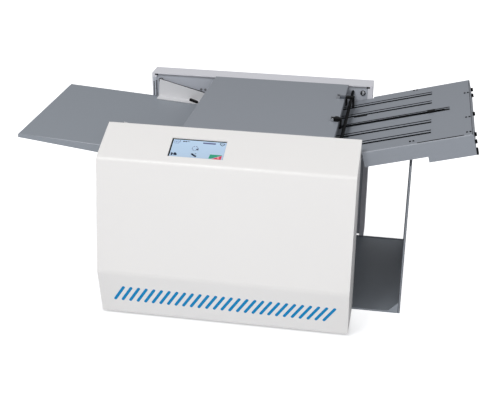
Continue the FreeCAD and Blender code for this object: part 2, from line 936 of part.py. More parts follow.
def drive_motor():
    half = s.motor_face_side / 2
    face = block("motor_face", (motor[0] - half, front_frame_inner, motor[1] - half),
                 (s.motor_face_side, s.motor_face_thick, s.motor_face_side))
    can = rod("motor_can", (motor[0], front_frame_inner, motor[1]), s.motor_radius, s.motor_length, "y")
    boss_radius = s.motor_boss_radius - s.running_clearance
    boss = rod("motor_boss", (motor[0], front_frame_outer, motor[1]), boss_radius, s.frame_sheet, "y")
    solid = fuse("motor_blank", [face, can, boss])
    bore_length = s.frame_sheet + s.motor_face_thick + s.overrun
    bore = rod("motor_bore", (motor[0], front_frame_outer - s.overrun, motor[1]),
               s.motor_shaft_radius + s.running_clearance, bore_length, "y")
    return place(cut("drive_motor", solid, bore))


def motor_pulley():
    end = front_frame_inner + s.motor_face_thick - s.overrun
    outline = pulley_outline(s.motor_pulley_radius, s.motor_shaft_radius, drive_row_near, drive_row_far)
    outline[0] = (0, drive_row_near)
    outline[-1] = (s.motor_shaft_radius, drive_row_far)
    outline += [(s.motor_shaft_radius, end), (0, end)]
    return turned("motor_pulley", outline, *motor)


def feed_roller():
    outline = [
        (0, feed_row_near - s.shaft_stub),
        (s.shaft_radius, feed_row_near - s.shaft_stub),
        (s.shaft_radius, rear_stub),
        (0, rear_stub),
    ]
    turned("feed_shaft", outline, *feed)
    solids = []
    middle = front_frame_inner + frame_span / 2
    for side in (-1, 1):
        near = middle + side * s.tyre_spacing / 2 - s.tyre_width / 2
        tyre = rod("tyre", (feed[0], near, feed[1]), s.tyre_radius, s.tyre_width, "y")
        bore = rod("tyre_bore", (feed[0], near - s.overrun, feed[1]),
                   s.shaft_radius, s.tyre_width + 2 * s.overrun, "y")
        solids.append(cut("feed_tyre", tyre, bore))
    place(group("feed_tyres", solids))
    roller_pulley("feed_pulley", feed, feed_row_near, feed_row_far)


def roller_train():
    gear_end = gear_far + s.shaft_stub
    half_tooth = size(180) / s.gear_teeth
    roller("fold_roller_1", first, feed_row_near - s.shaft_stub, gear_end)
    roller("fold_roller_2", second, drive_row_near - s.shaft_stub, gear_end)
    roller("fold_roller_3", third, front_stub, gear_end)
    roller("fold_roller_4", fourth, front_stub, gear_end)
    roller("seal_roller_lower", seal_lower, drive_row_near - s.shaft_stub, gear_end)
    roller("seal_roller_upper", seal_upper, front_stub, gear_end)
    gear("fold_gear_1", first, 2 * s.plate_tilt - half_tooth)
    gear("fold_gear_2", second)
    gear("fold_gear_3", third, 180 - half_tooth - 2 * s.turn_angle)
    gear("fold_gear_4", fourth)
    gear("seal_gear_lower", seal_lower)
    gear("seal_gear_upper", seal_upper, half_tooth)
    roller_pulley("fold_pulley_1", first, feed_row_near, feed_row_far)
    roller_pulley("fold_pulley_2", second, drive_row_near, drive_row_far)
    roller_pulley("seal_pulley", seal_lower, drive_row_near, drive_row_far)


def belts():
    big = s.roller_pulley_radius
    belt("drive_belt", [(motor, s.motor_pulley_radius), (seal_lower, big), (second, big)], drive_row_near)
    belt("feed_belt", [(feed, big), (first, big)], feed_row_near)


# First fold plate, drawn in its own frame: X up its slope from the housings' end, Y across, Z out
plate_near = s.panel_depth + s.plate_side_gap
plate_width = s.paper_gap - 2 * s.plate_side_gap
plate_middle = plate_width / 2
plate_outer = plate_width + s.plate_wing
plate_floor = s.plate_sheet + s.plate_throat
plate_under = plate_floor + s.plate_sheet


def place_on_plate(piece):
    return place(piece, s.housing_length, plate_near, s.plate_height, s.plate_tilt)


def slot_middle(number):
    """How far across the plate a slot lies; the middle slot is number 0."""
    return plate_middle + s.slot_shift + number * s.slot_pitch


def plate_top_sheet():
    body = new_body("plate_top_sheet")
    flat = new_sketch(body, "XY", -s.plate_sheet)
    polygon(flat, [
        (-s.plate_inner, 0),
        (s.plate_reach, 0),
        (s.plate_reach, plate_outer),
        (s.plate_wing_start, plate_outer),
        (s.plate_wing_start, plate_width),
        (-s.plate_inner, plate_width),
    ])
    pad(body, flat, s.plate_sheet)
    for side, start in ((0, s.plate_flange_start), (plate_outer - s.plate_sheet, s.plate_wing_start)):
        flange = new_sketch(body, "XZ", side)
        polygon(flange, [
            (start, -s.plate_sheet / 2),
            (start, -s.plate_flange_depth),
            (s.plate_step_at, -s.plate_flange_depth),
            (s.plate_step_at, -s.plate_step_depth),
            (s.plate_reach, -s.plate_step_depth),
            (s.plate_reach, -s.plate_sheet / 2),
        ])
        pad(body, flange, s.plate_sheet)
    end = new_sketch(body, "YZ", s.plate_reach - s.plate_sheet)
    rectangle(end, (0, -s.plate_step_depth), plate_outer, s.plate_step_depth - s.plate_sheet / 2)
    last = pad(body, end, s.plate_sheet)

    def is_bend(middle, edge):
        if abs(middle.z) > s.plate_sheet.value / 2 or edge.Length < s.plate_step_depth.value:
            return False
        at_side = abs(middle.y - plate_middle.value) > plate_middle.value - s.plate_sheet.value / 2
        return at_side or middle.x > s.plate_reach.value - s.plate_sheet.value / 2

    fillet(body, last, is_bend, s.plate_bend)
    slots = new_sketch(body, "XY", -s.plate_sheet - s.overrun)
    for number in (-2, -1, 0, 1, 2):
        length = s.plate_slot_start + (s.slot_end if number else s.middle_slot_end)
        near = slot_middle(number) - s.slot_width / 2
        front = s.front_slit if number else s.thumb_slit
        rectangle(slots, (-s.plate_slot_start, near), length, front)
        rectangle(slots, (-s.plate_slot_start, near + s.slot_width - s.back_slit), length, s.back_slit)
    rectangle(slots, (s.slit_start, s.slit_inset), s.slit_length, s.slit_width)
    pocket(body, slots, s.plate_sheet + 2 * s.overrun)
    return place_on_plate(body)


def plate_bottom_sheet():
    body = new_body("plate_bottom_sheet")
    sketch = new_sketch(body, "XY", -plate_under)
    length = s.plate_inner + s.plate_reach - s.plate_sheet
    rectangle(sketch, (-s.plate_inner, s.plate_sheet), length, plate_width - 2 * s.plate_sheet)
    pad(body, sketch, s.plate_sheet)
    return place_on_plate(body)


def plate_fasteners():
    """Bolt heads on the end of the plate and pairs of small button heads on its top."""
    solids = []
    span = plate_width - 2 * s.bolt_margin
    for back in (0, s.bolt_pair_pitch, span / 2, span - s.bolt_pair_pitch, span):
        foot = (s.plate_reach, s.bolt_margin + back, -s.bolt_head_drop)
        solids.append(rod("bolt_head", foot, s.bolt_head_radius, s.bolt_head_length, "x"))
    places = [
        (s.step_screw_at, s.near_screw_margin),
        (s.step_screw_at, plate_outer - s.far_screw_margin),
        (s.end_screw_at, s.near_screw_margin),
        (s.end_screw_at, s.second_screw_back),
        (s.end_screw_at, s.third_screw_back),
    ]
    for along, back in places:
        for more in (0, s.plate_screw_pair):
            foot = (along + more, back, 0)
            solids.append(rod("plate_screw", foot, s.plate_screw_radius, s.plate_screw_height))
    return place_on_plate(group("plate_fasteners", solids))


def plate_pads():
    """Black plastic: the corner pad, two slot bumpers and the hold-down finger."""
    corner = (s.plate_reach, 0, -s.plate_step_depth)
    solids = [block("corner_pad", corner, (s.pad_length, s.pad_across, s.pad_height))]
    for number, end_at in ((0, s.middle_slot_end), (-1, s.slot_end)):
        near = slot_middle(number) - s.slot_width / 2
        corner = (end_at - s.bumper_length, near, -s.plate_sheet)
        spans = (s.bumper_length, s.front_slit, s.plate_sheet + s.bumper_proud)
        solids.append(block("bumper", corner, spans))
    corner = (-s.finger_start, slot_middle(1) - s.slot_width / 2 - s.finger_width, 0)
    spans = (s.finger_length, s.finger_width, s.finger_thick)
    solids.append(block("finger", corner, spans))
    return place_on_plate(group("plate_pads", solids))


def plate_rails():
    """Two rails on the side frames that the fold plate slides out along."""
    top = -plate_under - s.slide_gap
    near = front_frame_inner - plate_near
    solids = []
    for back in (near, near + frame_span - s.rail_width):
        corner = (-s.rail_start, back, top - s.rail_thick)
        solids.append(block("rail", corner, (s.rail_length, s.rail_width, s.rail_thick)))
    return place_on_plate(group("plate_rails", solids))


def fold_stop():
    """The stop bar between the sheets, with its thumb piece up through the middle slot."""
    low = -plate_floor + s.stop_gap
    height = s.plate_throat - 2 * s.stop_gap
    near = s.plate_sheet + s.stop_gap
    bar = block("stop_bar", (s.stop_bar_at, near, low),
                (s.stop_bar_length, plate_width - 2 * near, height))
    thumb_at = s.stop_bar_at + (s.stop_bar_length - s.thumb_length) / 2
    top_of_bar = low + height
    thumb_near = slot_middle(0) - s.slot_width / 2 + s.thumb_gap
    thumb = block("stop_thumb", (thumb_at, thumb_near, top_of_bar),
                  (s.thumb_length, s.thumb_width, s.thumb_height - top_of_bar))
    return place_on_plate(fuse("fold_stop", [bar, thumb]))


# Second fold plate: two sheets between the side frames, below and left of the rollers
def place_below(piece):
    return place(piece, s.lower_across, front_frame_inner, s.lower_height, s.lower_tilt)


def lower_fold_plate():
    half = s.plate_throat / 2
    for name, low in (("lower_plate_upper_sheet", half), ("lower_plate_lower_sheet", -half - s.plate_sheet)):
        body = new_body(name)
        sketch = new_sketch(body, "XY", low)
        rectangle(sketch, (-s.lower_length, 0), s.lower_length, frame_span)
        pad(body, sketch, s.plate_sheet)
        if "lower_sheet" in name:
            slot = new_sketch(body, "XY", low - s.overrun)
            corner = (-s.lower_length + s.lower_slot_margin, (frame_span - s.slot_width) / 2)
            rectangle(slot, corner, s.lower_slot_length, s.slot_width)
            pocket(body, slot, s.plate_sheet + 2 * s.overrun)
        place_below(body)
    near = 2 * s.stop_gap
    low = s.stop_gap - half
    bar = block("lower_bar", (-s.lower_stop_at, near, low),
                (s.stop_bar_length, frame_span - 2 * near, s.plate_throat - 2 * s.stop_gap))
    drop = s.plate_sheet + s.stop_gap + s.thumb_height
    thumb = block("lower_thumb", (-s.lower_stop_at, (frame_span - s.thumb_width) / 2, low - drop),
                  (s.stop_bar_length, s.thumb_width, drop))
    place_below(fuse("lower_fold_stop", [bar, thumb]))


# Infeed tray, drawn in its own frame: X down its slope from the housings' left end, Y across, Z out
tray_near = s.panel_depth + s.tray_side_gap
tray_width = s.paper_gap - 2 * s.tray_side_gap


def place_on_tray(piece):
    return place(piece, 0, tray_near, s.tray_height, s.tray_tilt, rising=False)


def infeed_tray():
    body = new_body("infeed_tray")
    flat = new_sketch(body, "XY", -s.tray_sheet)
    rectangle(flat, (-s.tray_reach, 0), s.tray_reach + s.tray_inner, tray_width)
    pad(body, flat, s.tray_sheet)
    for side in (0, tray_width - s.tray_sheet):
        flange = new_sketch(body, "XZ", side)
        polygon(flange, [
            (-s.tray_reach, -s.tray_sheet / 2),
            (-s.tray_reach, -s.tray_flange_outer),
            (-s.tray_flange_end, -s.tray_flange_inner),
            (-s.tray_flange_end, -s.tray_sheet / 2),
        ])
        pad(body, flange, s.tray_sheet)
    end = new_sketch(body, "YZ", -s.tray_reach)
    rectangle(end, (0, -s.tray_flange_outer), tray_width, s.tray_flange_outer - s.tray_sheet / 2)
    last = pad(body, end, s.tray_sheet)

    def is_bend(middle, edge):
        if abs(middle.z) > s.tray_sheet.value / 4 or edge.Length < s.tray_flange_inner.value:
            return False
        at_end = middle.x < -s.tray_reach.value + s.tray_sheet.value / 2
        return at_end

    fillet(body, last, is_bend, s.tray_bend)
    return place_on_tray(body)


# Side guides: upright plates with a foot on the tray, one on each side of the paper
guide_inner = rear_face - 2 * s.guide_sheet
guide_front = guide_inner - s.paper_width


def side_guide(name, inner, outward):
    body = new_body(name)
    low = s.guide_gap
    upright = new_sketch(body, "XZ", inner if outward > 0 else inner - s.guide_sheet)
    end = s.guide_start + s.guide_length
    polygon(upright, [
        (s.guide_start, low),
        (end, low),
        (end, s.guide_low),
        (s.guide_start, s.guide_high),
    ])
    pad(body, upright, s.guide_sheet)
    foot = new_sketch(body, "XY", low)
    near = inner - s.guide_foot if outward > 0 else inner - s.guide_sheet
    rectangle(foot, (s.guide_start, near), s.guide_length, s.guide_foot + s.guide_sheet)
    pad(body, foot, s.guide_foot_sheet)
    return place_on_tray(body)


def guide_knob():
    """The grip on the rear guide's foot, set at an angle and cut off at its corners."""
    body = new_body("guide_knob")
    sketch = new_sketch(body, "XY", s.guide_gap + s.guide_foot_sheet)
    turn_sin, turn_cos = sine(s.guide_knob_turn), cosine(s.guide_knob_turn)
    middle = (s.guide_knob_at, guide_inner - tray_near - s.guide_knob_out)
    end, side = s.guide_knob_length / 2, s.guide_knob_width / 2
    short_end, short_side = end - s.guide_knob_corner, side - s.guide_knob_corner
    outline = [
        (-short_end, -side),
        (short_end, -side),
        (end, -short_side),
        (end, short_side),
        (short_end, side),
        (-short_end, side),
        (-end, short_side),
        (-end, -short_side),
    ]
    polygon(sketch, [
        (middle[0] + along * turn_cos + over * turn_sin, middle[1] + over * turn_cos - along * turn_sin)
        for along, over in outline
    ])
    pad(body, sketch, s.guide_knob_height)
    return place_on_tray(body)


# Sheet separator under the feed tyres, and the decks that lead the paper
def separator():
    middle = s.panel_depth + s.paper_gap / 2
    near = middle - s.separator_width / 2
    right = s.separator_start + s.separator_length
    body = new_body("separator_block")
    sketch = new_sketch(body, "XZ", near)
    polygon(sketch, [
        (s.separator_start, separator_low),
        (right, separator_low),
        (right, separator_top),
        (s.separator_start + s.separator_slope, separator_top),
        (s.separator_start, separator_top - s.separator_slope),
    ])
    pad(body, sketch, s.separator_width)
    place(body)
    corner = (s.feed_across - s.pad_reach / 2, middle - s.tyre_spacing / 2 - s.tyre_width / 2,
              separator_top)
    spans = (s.pad_reach, s.tyre_spacing + s.tyre_width, s.pad_thick)
    place(group("separator_pad", [block("pad_strip", corner, spans)]))


def paper_guides():
    """The deck between the feed tyres and the first rollers, and the lip below the last pair."""
    deck = (s.deck_start, front_frame_inner, s.deck_height - s.deck_sheet)
    solids = [block("deck", deck, (s.deck_end - s.deck_start, frame_span, s.deck_sheet))]
    for across in (s.deck_start, s.deck_end - s.deck_sheet):
        corner = (across, front_frame_inner, s.deck_height - s.deck_hem)
        hem_height = s.deck_hem - s.deck_sheet
        solids.append(block("hem", corner, (s.deck_sheet, frame_span, hem_height)))
    lip = new_body("lip")
    sketch = new_sketch(lip, "XZ", front_frame_inner)
    far = s.exit_start + s.exit_length * cosine(s.exit_tilt)
    drop = s.exit_length * sine(s.exit_tilt)
    polygon(sketch, [
        (s.exit_start, s.exit_height),
        (far, s.exit_height - drop),
        (far, s.exit_height - drop - s.deck_sheet),
        (s.exit_start, s.exit_height - s.deck_sheet),
    ])
    pad(lip, sketch, frame_span)
    parts = fuse("deck_and_hems", solids)
    return place(group("paper_guides", [parts, lip]))


# Top cover: a sheet lid over the rollers, hinged near its left end on two pins in the frames
cover_near = s.panel_depth + s.cover_side_gap
cover_width = s.paper_gap - 2 * s.cover_side_gap
cover_end = s.cover_start + s.cover_length
pin_across = s.cover_start + s.cover_pin_inset


def top_cover():
    body = new_body("top_cover")
    low = s.crown_height - s.cover_flange
    shell = new_sketch(body, "XY", low)
    rectangle(shell, (s.cover_start, cover_near), s.cover_length, cover_width)
    solid = pad(body, shell, s.cover_flange)

    def is_top_edge(middle, edge):
        return middle.z > s.crown_height.value - s.cover_radius.value / 2

    solid = fillet(body, solid, is_top_edge, s.cover_radius)
    room = new_sketch(body, "XY", low - s.overrun)
    corner = (s.cover_start + s.cover_sheet, cover_near + s.cover_sheet)
    rectangle(room, corner, s.cover_length - 2 * s.cover_sheet, cover_width - 2 * s.cover_sheet)
    pocket(body, room, s.cover_flange - s.cover_sheet + s.overrun)
    drop = s.crown_height - s.ear_drop
    for near in (cover_near, cover_near + cover_width - s.ear_sheet):
        ear = new_sketch(body, "XZ", near)
        rectangle(ear, (s.cover_start, drop), s.ear_length, s.ear_drop - s.cover_sheet)
        pad(body, ear, s.ear_sheet)
    hole = new_sketch(body, "XZ", cover_near - s.overrun)
    circle(hole, (pin_across, s.cover_pin_height), s.cover_pin_radius + s.cover_pin_gap)
    pocket(body, hole, cover_width + 2 * s.overrun)
    return place(body)


def cover_pins():
    """Two hinge pins, pressed in the side frames and reaching through the cover's ears."""
    front = front_frame_outer
    near = (pin_across, front, s.cover_pin_height)
    length = cover_near + s.ear_sheet + s.overrun - front
    far_start = cover_near + cover_width - s.ear_sheet - s.overrun
    far = (pin_across, far_start, s.cover_pin_height)
    solids = [
        rod("near_pin", near, s.cover_pin_radius, length, "y"),
        rod("far_pin", far, s.cover_pin_radius, rear_frame_outer - far_start, "y"),
    ]
    return place(group("cover_pins", solids))


# Catches: a bar hinged on the lid, ending in a jaw that straddles the keeper bar
catch_middle = s.panel_depth + s.paper_gap / 2
catch_low = s.crown_height + s.catch_lift
catch_pin_height = catch_low + s.catch_arm_thick / 2
catch_pin_across = s.catch_arm_start + s.catch_pin_inset
catch_leg_left = s.keeper_across - s.keeper_radius - s.front_leg_gap - s.front_leg_wall


def catch_near(number):
    return catch_middle + number * s.catch_spacing - s.catch_width / 2


def catch_hinges():
    """Lugs and pins on the lid, one pair of lugs for each catch."""
    solids = []
    for number in (-1, 1):
        near = catch_near(number)
        outer = near - s.catch_side_gap - s.catch_lug_wall
        across = catch_pin_across - s.catch_lug_length / 2
        parts = []
        for back in (outer, near + s.catch_width + s.catch_side_gap):
            corner = (across, back, s.crown_height)
            spans = (s.catch_lug_length, s.catch_lug_wall, s.catch_lug_height)
            parts.append(block("catch_lug", corner, spans))
        pin_length = s.catch_width + 2 * s.catch_side_gap + 2 * s.catch_lug_wall
        foot = (catch_pin_across, outer, catch_pin_height)
        parts.append(rod("catch_pin", foot, s.catch_pin_radius, pin_length, "y"))
        solids.append(fuse("catch_hinge", parts))
    return place(group("catch_hinges", solids))


def catch_arm(name, near):
    """The flat bar of a catch, with a round eye bored for its pin."""
    corner = (catch_pin_across, near, catch_low)
    length = catch_leg_left - catch_pin_across
    bar = block("bar", corner, (length, s.catch_width, s.catch_arm_thick))
    eye = rod("eye", (catch_pin_across, near, catch_pin_height), s.catch_arm_thick / 2, s.catch_width, "y")
    foot = (catch_pin_across, near - s.overrun, catch_pin_height)
    radius = s.catch_pin_radius + s.cover_pin_gap
    bore = rod("bore", foot, radius, s.catch_width + 2 * s.overrun, "y")
    return cut(name, fuse("arm_blank", [bar, eye]), bore)


def inner_leg(near):
    """The leg of a catch that drops between the lid and the keeper bar."""
    return block("inner_leg", (catch_leg_left, near, catch_low - s.front_leg_depth),
                 (s.front_leg_wall, s.catch_width, s.front_leg_depth + s.catch_arm_thick))


def catch_jaw(name, near):
    """The jaw: two legs and a bridge over the keeper bar."""
    inner = s.keeper_across + s.keeper_radius + s.catch_leg_gap
    bridge = block("bridge", (catch_leg_left, near, catch_low),
                   (inner + s.catch_wall - catch_leg_left, s.catch_width, s.catch_arm_thick))
    outer_leg = block("outer_leg", (inner, near, catch_low - s.catch_leg_depth),
                      (s.catch_wall, s.catch_width, s.catch_leg_depth + s.catch_arm_thick / 2))
    return fuse(name, [bridge, outer_leg, inner_leg(near)])


def catches():
    near = catch_near(1)
    place(catch_arm("catch_arm_rear", near))
    place(catch_jaw("catch_jaw_rear", near))
    near = catch_near(-1)
    place(fuse("catch_front", [catch_arm("front_arm", near), inner_leg(near)]))


# Output tray: floor, low rims, upright end wall with folded edges and a corner gusset
def output_tray():
    body = new_body("output_tray")
    start = s.pan_start + s.pan_length
    inner = s.output_end - s.output_sheet
    floor = new_sketch(body, "XY")
    rectangle(floor, (start, front_frame_inner), s.output_end - start, frame_span)
    pad(body, floor, s.output_sheet)
    joint = new_sketch(body, "YZ", start)
    rectangle(joint, (front_frame_inner, s.output_sheet / 2), frame_span, s.output_joint)
    pad(body, joint, s.output_sheet)
    far_side = rear_frame_inner - s.output_sheet
    for back in (front_frame_inner, far_side):
        rim = new_sketch(body, "XZ", back)
        half = s.output_sheet / 2
        rectangle(rim, (start, half), s.output_end - start, s.output_rim - half)
        pad(body, rim, s.output_sheet)
        ear = new_sketch(body, "XZ", back)
        rectangle(ear, (start + s.output_ear_start, half), s.output_ear_length, s.output_ear_height)
        pad(body, ear, s.output_sheet)
        fold = new_sketch(body, "XZ", back)
        across = s.output_end - s.output_fold
        rectangle(fold, (across, half), s.output_fold, s.output_wall_height - half)
        pad(body, fold, s.output_sheet)
    wall = new_sketch(body, "YZ", inner)
    rectangle(wall, (front_frame_inner, 0), frame_span, s.output_wall_height)
    pad(body, wall, s.output_sheet)
    gusset = new_sketch(body, "XZ", front_frame_inner)
    polygon(gusset, [
        (inner - s.gusset_side, s.output_sheet / 2),
        (inner + s.output_sheet / 2, s.output_sheet / 2),
        (inner + s.output_sheet / 2, s.gusset_side + s.output_sheet),
        (inner, s.gusset_side + s.output_sheet),
    ])
    pad(body, gusset, s.output_sheet)
    return place(body)


# Display: a glass in a bezel, both set along the slope under the panel's window
panel_rise = s.crown_height - s.fold_height
panel_slope = math.hypot(panel_rise.value, s.panel_depth.value)


def panel_point(along, deep):
    """A point of the sloping panel: along it from the front fold, and deep below its face."""
    back = along * (s.panel_depth.value / panel_slope) + deep * (panel_rise.value / panel_slope)
    up = along * (panel_rise.value / panel_slope) - deep * (s.panel_depth.value / panel_slope)
    return back, s.fold_height + up


def panel_strip(sketch, border, top, bottom):
    """A strip under the window, wider than it by border, between two depths."""
    low = s.window_low - border
    high = s.window_low + s.window_width + border
    polygon(sketch, [
        panel_point(low, top),
        panel_point(high, top),
        panel_point(high, bottom),
        panel_point(low, bottom),
    ])


def display():
    glass = new_body("display_glass")
    start = s.window_left - s.glass_border
    span = s.window_length + 2 * s.glass_border
    sketch = new_sketch(glass, "YZ", start)
    panel_strip(sketch, s.glass_border, s.skin, s.skin + s.glass_thick)
    pad(glass, sketch, span)
    place(glass)
    bezel = new_body("display_bezel")
    sketch = new_sketch(bezel, "YZ", s.window_left - s.bezel_border)
    panel_strip(sketch, s.bezel_border, s.skin, s.skin + s.bezel_depth)
    pad(bezel, sketch, s.window_length + 2 * s.bezel_border)
    recess = new_sketch(bezel, "YZ", start)
    panel_strip(recess, s.glass_border, s.skin - s.overrun, s.skin + s.glass_thick)
    pocket(bezel, recess, span)
    place(bezel)


# Electrical parts
def control_board():
    face = front_frame_outer - s.board_standoff
    board = (s.board_start, face - s.board_thick, s.board_low)
    solids = [block("board", board, (s.board_length, s.board_thick, s.board_width))]
    for across in (s.standoff_inset, s.board_length - s.standoff_inset):
        for up in (s.standoff_inset, s.board_width - s.standoff_inset):
            foot = (s.board_start + across, face, s.board_low + up)
            solids.append(rod("standoff", foot, s.standoff_radius, s.board_standoff, "y"))
    front = face - s.board_thick
    middle = (s.board_length - s.chip_side) / 2
    chip = (s.board_start + middle, front - s.chip_height, s.board_low + middle)
    solids.append(block("chip", chip, (s.chip_side, s.chip_height, s.chip_side)))
    for number in (1, 2, 3):
        across = s.board_start + number * s.relay_length
        relay = (across, front - s.relay_height, s.board_low + s.chip_side)
        spans = (s.relay_width, s.relay_height, s.relay_length)
        solids.append(block("relay", relay, spans))
    return place(fuse("control_board", solids))


def power_supply():
    corner = (s.supply_start, s.supply_near, s.frame_low + s.pan_sheet)
    spans = (s.supply_length, s.supply_width, s.supply_height)
    return place(group("power_supply", [block("supply_case", corner, spans)]))


def power_inlet():
    """The mains inlet with its three pins, and the frame the rocker turns in."""
    face = rear_back
    inner = face - s.inlet_depth
    left = s.inlet_across - s.inlet_width / 2
    low = s.inlet_height - s.inlet_tall / 2
    shell = block("shell", (left, inner, low), (s.inlet_width, s.inlet_depth, s.inlet_tall))
    rim = block("rim", (left - s.inlet_rim, face, low - s.inlet_rim),
                (s.inlet_width + 2 * s.inlet_rim, s.inlet_rim_thick, s.inlet_tall + 2 * s.inlet_rim))
    room = block("room", (left + s.inlet_wall, inner + s.inlet_wall, low + s.inlet_wall),
                 (s.inlet_width - 2 * s.inlet_wall, s.inlet_depth + s.overrun,
                  s.inlet_tall - 2 * s.inlet_wall))
    cup = cut("cup", fuse("cup_solid", [shell, rim]), room)
    pins = []
    for number in (-1, 0, 1):
        foot = (s.inlet_across + number * s.inlet_pin_pitch, inner, s.inlet_height)
        pins.append(rod("contact", foot, s.inlet_pin_radius, s.inlet_depth - s.inlet_wall, "y"))
    return place(group("power_inlet", [fuse("inlet", [cup] + pins), rocker_frame()]))


def rocker_frame():
    """A square tube through the rear cover, its rim outside."""
    left = s.switch_across - s.switch_width / 2 - s.switch_wall
    low = s.inlet_height - s.switch_tall / 2 - s.switch_wall
    width = s.switch_width + 2 * s.switch_wall
    tall = s.switch_tall + 2 * s.switch_wall
    depth = s.rocker_depth + s.rocker_proud
    inner = rear_back - depth
    tube = block("tube", (left, inner, low), (width, depth, tall))
    rim = block("switch_rim", (left - s.inlet_rim, rear_back, low - s.inlet_rim),
                (width + 2 * s.inlet_rim, s.inlet_rim_thick, tall + 2 * s.inlet_rim))
    room = block("switch_room", (left + s.switch_wall, inner + s.switch_wall, low + s.switch_wall),
                 (s.switch_width, depth + s.overrun, s.switch_tall))
    foot = (left, rear_back - s.rocker_pin_depth, s.inlet_height)
    pin = rod("rocker_pin", foot, s.rocker_pin_radius, width, "x")
    shell = cut("switch_shell", fuse("switch_solid", [tube, rim]), room)
    return fuse("switch_frame", [shell, pin])


def power_rocker():
    """The rocker: a shallow wedge in the frame, turning about its pin."""
    body = new_body("power_rocker")
    width = s.switch_width - 2 * s.rocker_gap
    sketch = new_sketch(body, "YZ", s.switch_across - width / 2)
    half = s.rocker_half
    back = rear_back - s.rocker_pin_depth
    face = rear_back + s.rocker_proud
    polygon(sketch, [
        (back - s.rocker_back, s.inlet_height - half / 2),
        (face, s.inlet_height - half),
        (face - s.rocker_dip, s.inlet_height),
        (face, s.inlet_height + half),
        (back - s.rocker_back, s.inlet_height + half / 2),
    ])
    pad(body, sketch, width)
    hole = new_sketch(body, "YZ", s.switch_across - width)
    circle(hole, (back, s.inlet_height), s.rocker_pin_radius + s.cover_pin_gap)
    pocket(body, hole, 2 * width)
    return place(body)


# The machine, piece by piece
front_cover()
rear_cover()
side_frame("front_side_frame", front_frame_inner, front_frame_outer, -1, s.frame_top)
side_frame("rear_side_frame", rear_frame_inner, rear_frame_outer, 1, s.rear_frame_top)
base_pan()
feet()
tie_bars()
bushings()
frame_screws()
roller_train()
feed_roller()
drive_motor()
motor_pulley()
belts()
plate_top_sheet()
plate_bottom_sheet()
plate_fasteners()
plate_pads()
plate_rails()
fold_stop()
lower_fold_plate()
infeed_tray()
side_guide("side_guide_rear", guide_inner - tray_near, 1)
side_guide("side_guide_front", guide_front - tray_near, -1)
guide_knob()
separator()
paper_guides()
top_cover()
cover_pins()
catch_hinges()
catches()
output_tray()
display()
control_board()
power_supply()
power_inlet()
power_rocker()


def check_document():
    """Stop if any object failed or any piece has no sound solid."""
    for item in doc.Objects:
        if "Invalid" in item.State or "Error" in item.State:
            raise ValueError(f"{item.Name} ({item.Label}) failed: {item.State}")
    for piece in pieces:
        shape = piece.Shape
        if shape.isNull() or not shape.isValid() or not shape.Solids:
            raise ValueError(f"{piece.Label} has no sound solid")


def centre_machine():
    """Set the middle of the machine's floor rectangle at the origin."""
    whole = FreeCAD.BoundBox()
    for piece in pieces:
        whole.add(piece.Shape.BoundBox)
    s.cells.set(s.cells.getCellFromAlias("middle_across"), str(whole.Center.x))
    s.cells.set(s.cells.getCellFromAlias("middle_back"), str(whole.Center.y))
    doc.recompute()
    print(f"middle across {whole.Center.x:.4f} middle back {whole.Center.y:.4f}")
    print(f"size {whole.XLength:.2f} x {whole.YLength:.2f} x {whole.ZLength:.2f}")


doc.recompute()
check_document()
centre_machine()
check_document()
os.makedirs("parts", exist_ok=True)
for piece in pieces:
    piece.Shape.exportStep(f"parts/{piece.Label}.step")
print(f"{len(pieces)} pieces written")
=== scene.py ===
"""Looks of a desktop paper folding machine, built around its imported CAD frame."""

from __future__ import annotations

import json
import logging
import math
from dataclasses import dataclass
from enum import Enum
from functools import cache

import bmesh
import bpy
from mathutils import Matrix, Vector

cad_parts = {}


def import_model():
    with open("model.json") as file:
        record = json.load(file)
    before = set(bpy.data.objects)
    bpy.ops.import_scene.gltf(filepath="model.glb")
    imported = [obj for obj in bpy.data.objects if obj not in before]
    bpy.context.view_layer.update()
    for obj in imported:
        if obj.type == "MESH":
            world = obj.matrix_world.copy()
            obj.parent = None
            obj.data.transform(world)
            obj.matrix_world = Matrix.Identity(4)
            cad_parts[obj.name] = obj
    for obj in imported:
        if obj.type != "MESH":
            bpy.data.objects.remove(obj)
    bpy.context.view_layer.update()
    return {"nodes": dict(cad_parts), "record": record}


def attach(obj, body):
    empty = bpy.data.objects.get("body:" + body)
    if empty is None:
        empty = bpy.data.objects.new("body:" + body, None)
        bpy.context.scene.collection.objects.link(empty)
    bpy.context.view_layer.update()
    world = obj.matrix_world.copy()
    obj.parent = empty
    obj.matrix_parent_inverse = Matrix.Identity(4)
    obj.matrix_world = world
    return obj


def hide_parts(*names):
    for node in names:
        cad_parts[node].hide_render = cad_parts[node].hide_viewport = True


LOG = logging.getLogger("folding_machine")
MILLI = 0.001
MIDDLE_ACROSS = 201.8688
MIDDLE_BACK = 168.7816
BRIGHTEST = 255.0
SRGB_KNEE = 0.04045
SRGB_SLOPE = 12.92
SRGB_LIFT = 0.055
SRGB_POWER = 2.4
EDGE_GAIN = 4.0
WEAR_AND_SHINE_LIFT = 1.35
DUST_LIFT = 1.25
WHITENING = 0.02
BEVEL_SAMPLES = 4
GRAIN_OUTPUTS = {"Height": "Float", "Shade": "Float", "Gloss Shift": "Float"}
POINT_RADIUS = 1e-7
SKIN_GAP = 0.01
TURNED_SIDES = 24
CAP_STEPS = 7
RING_STEPS = 20

Colour = tuple[float, float, float]
Point = tuple[float, float, float]
Pair = tuple[float, float]
Box = tuple[float, float, float, float]
Outline = list[Pair]
Tree = bpy.types.NodeTree
Socket = bpy.types.NodeSocket


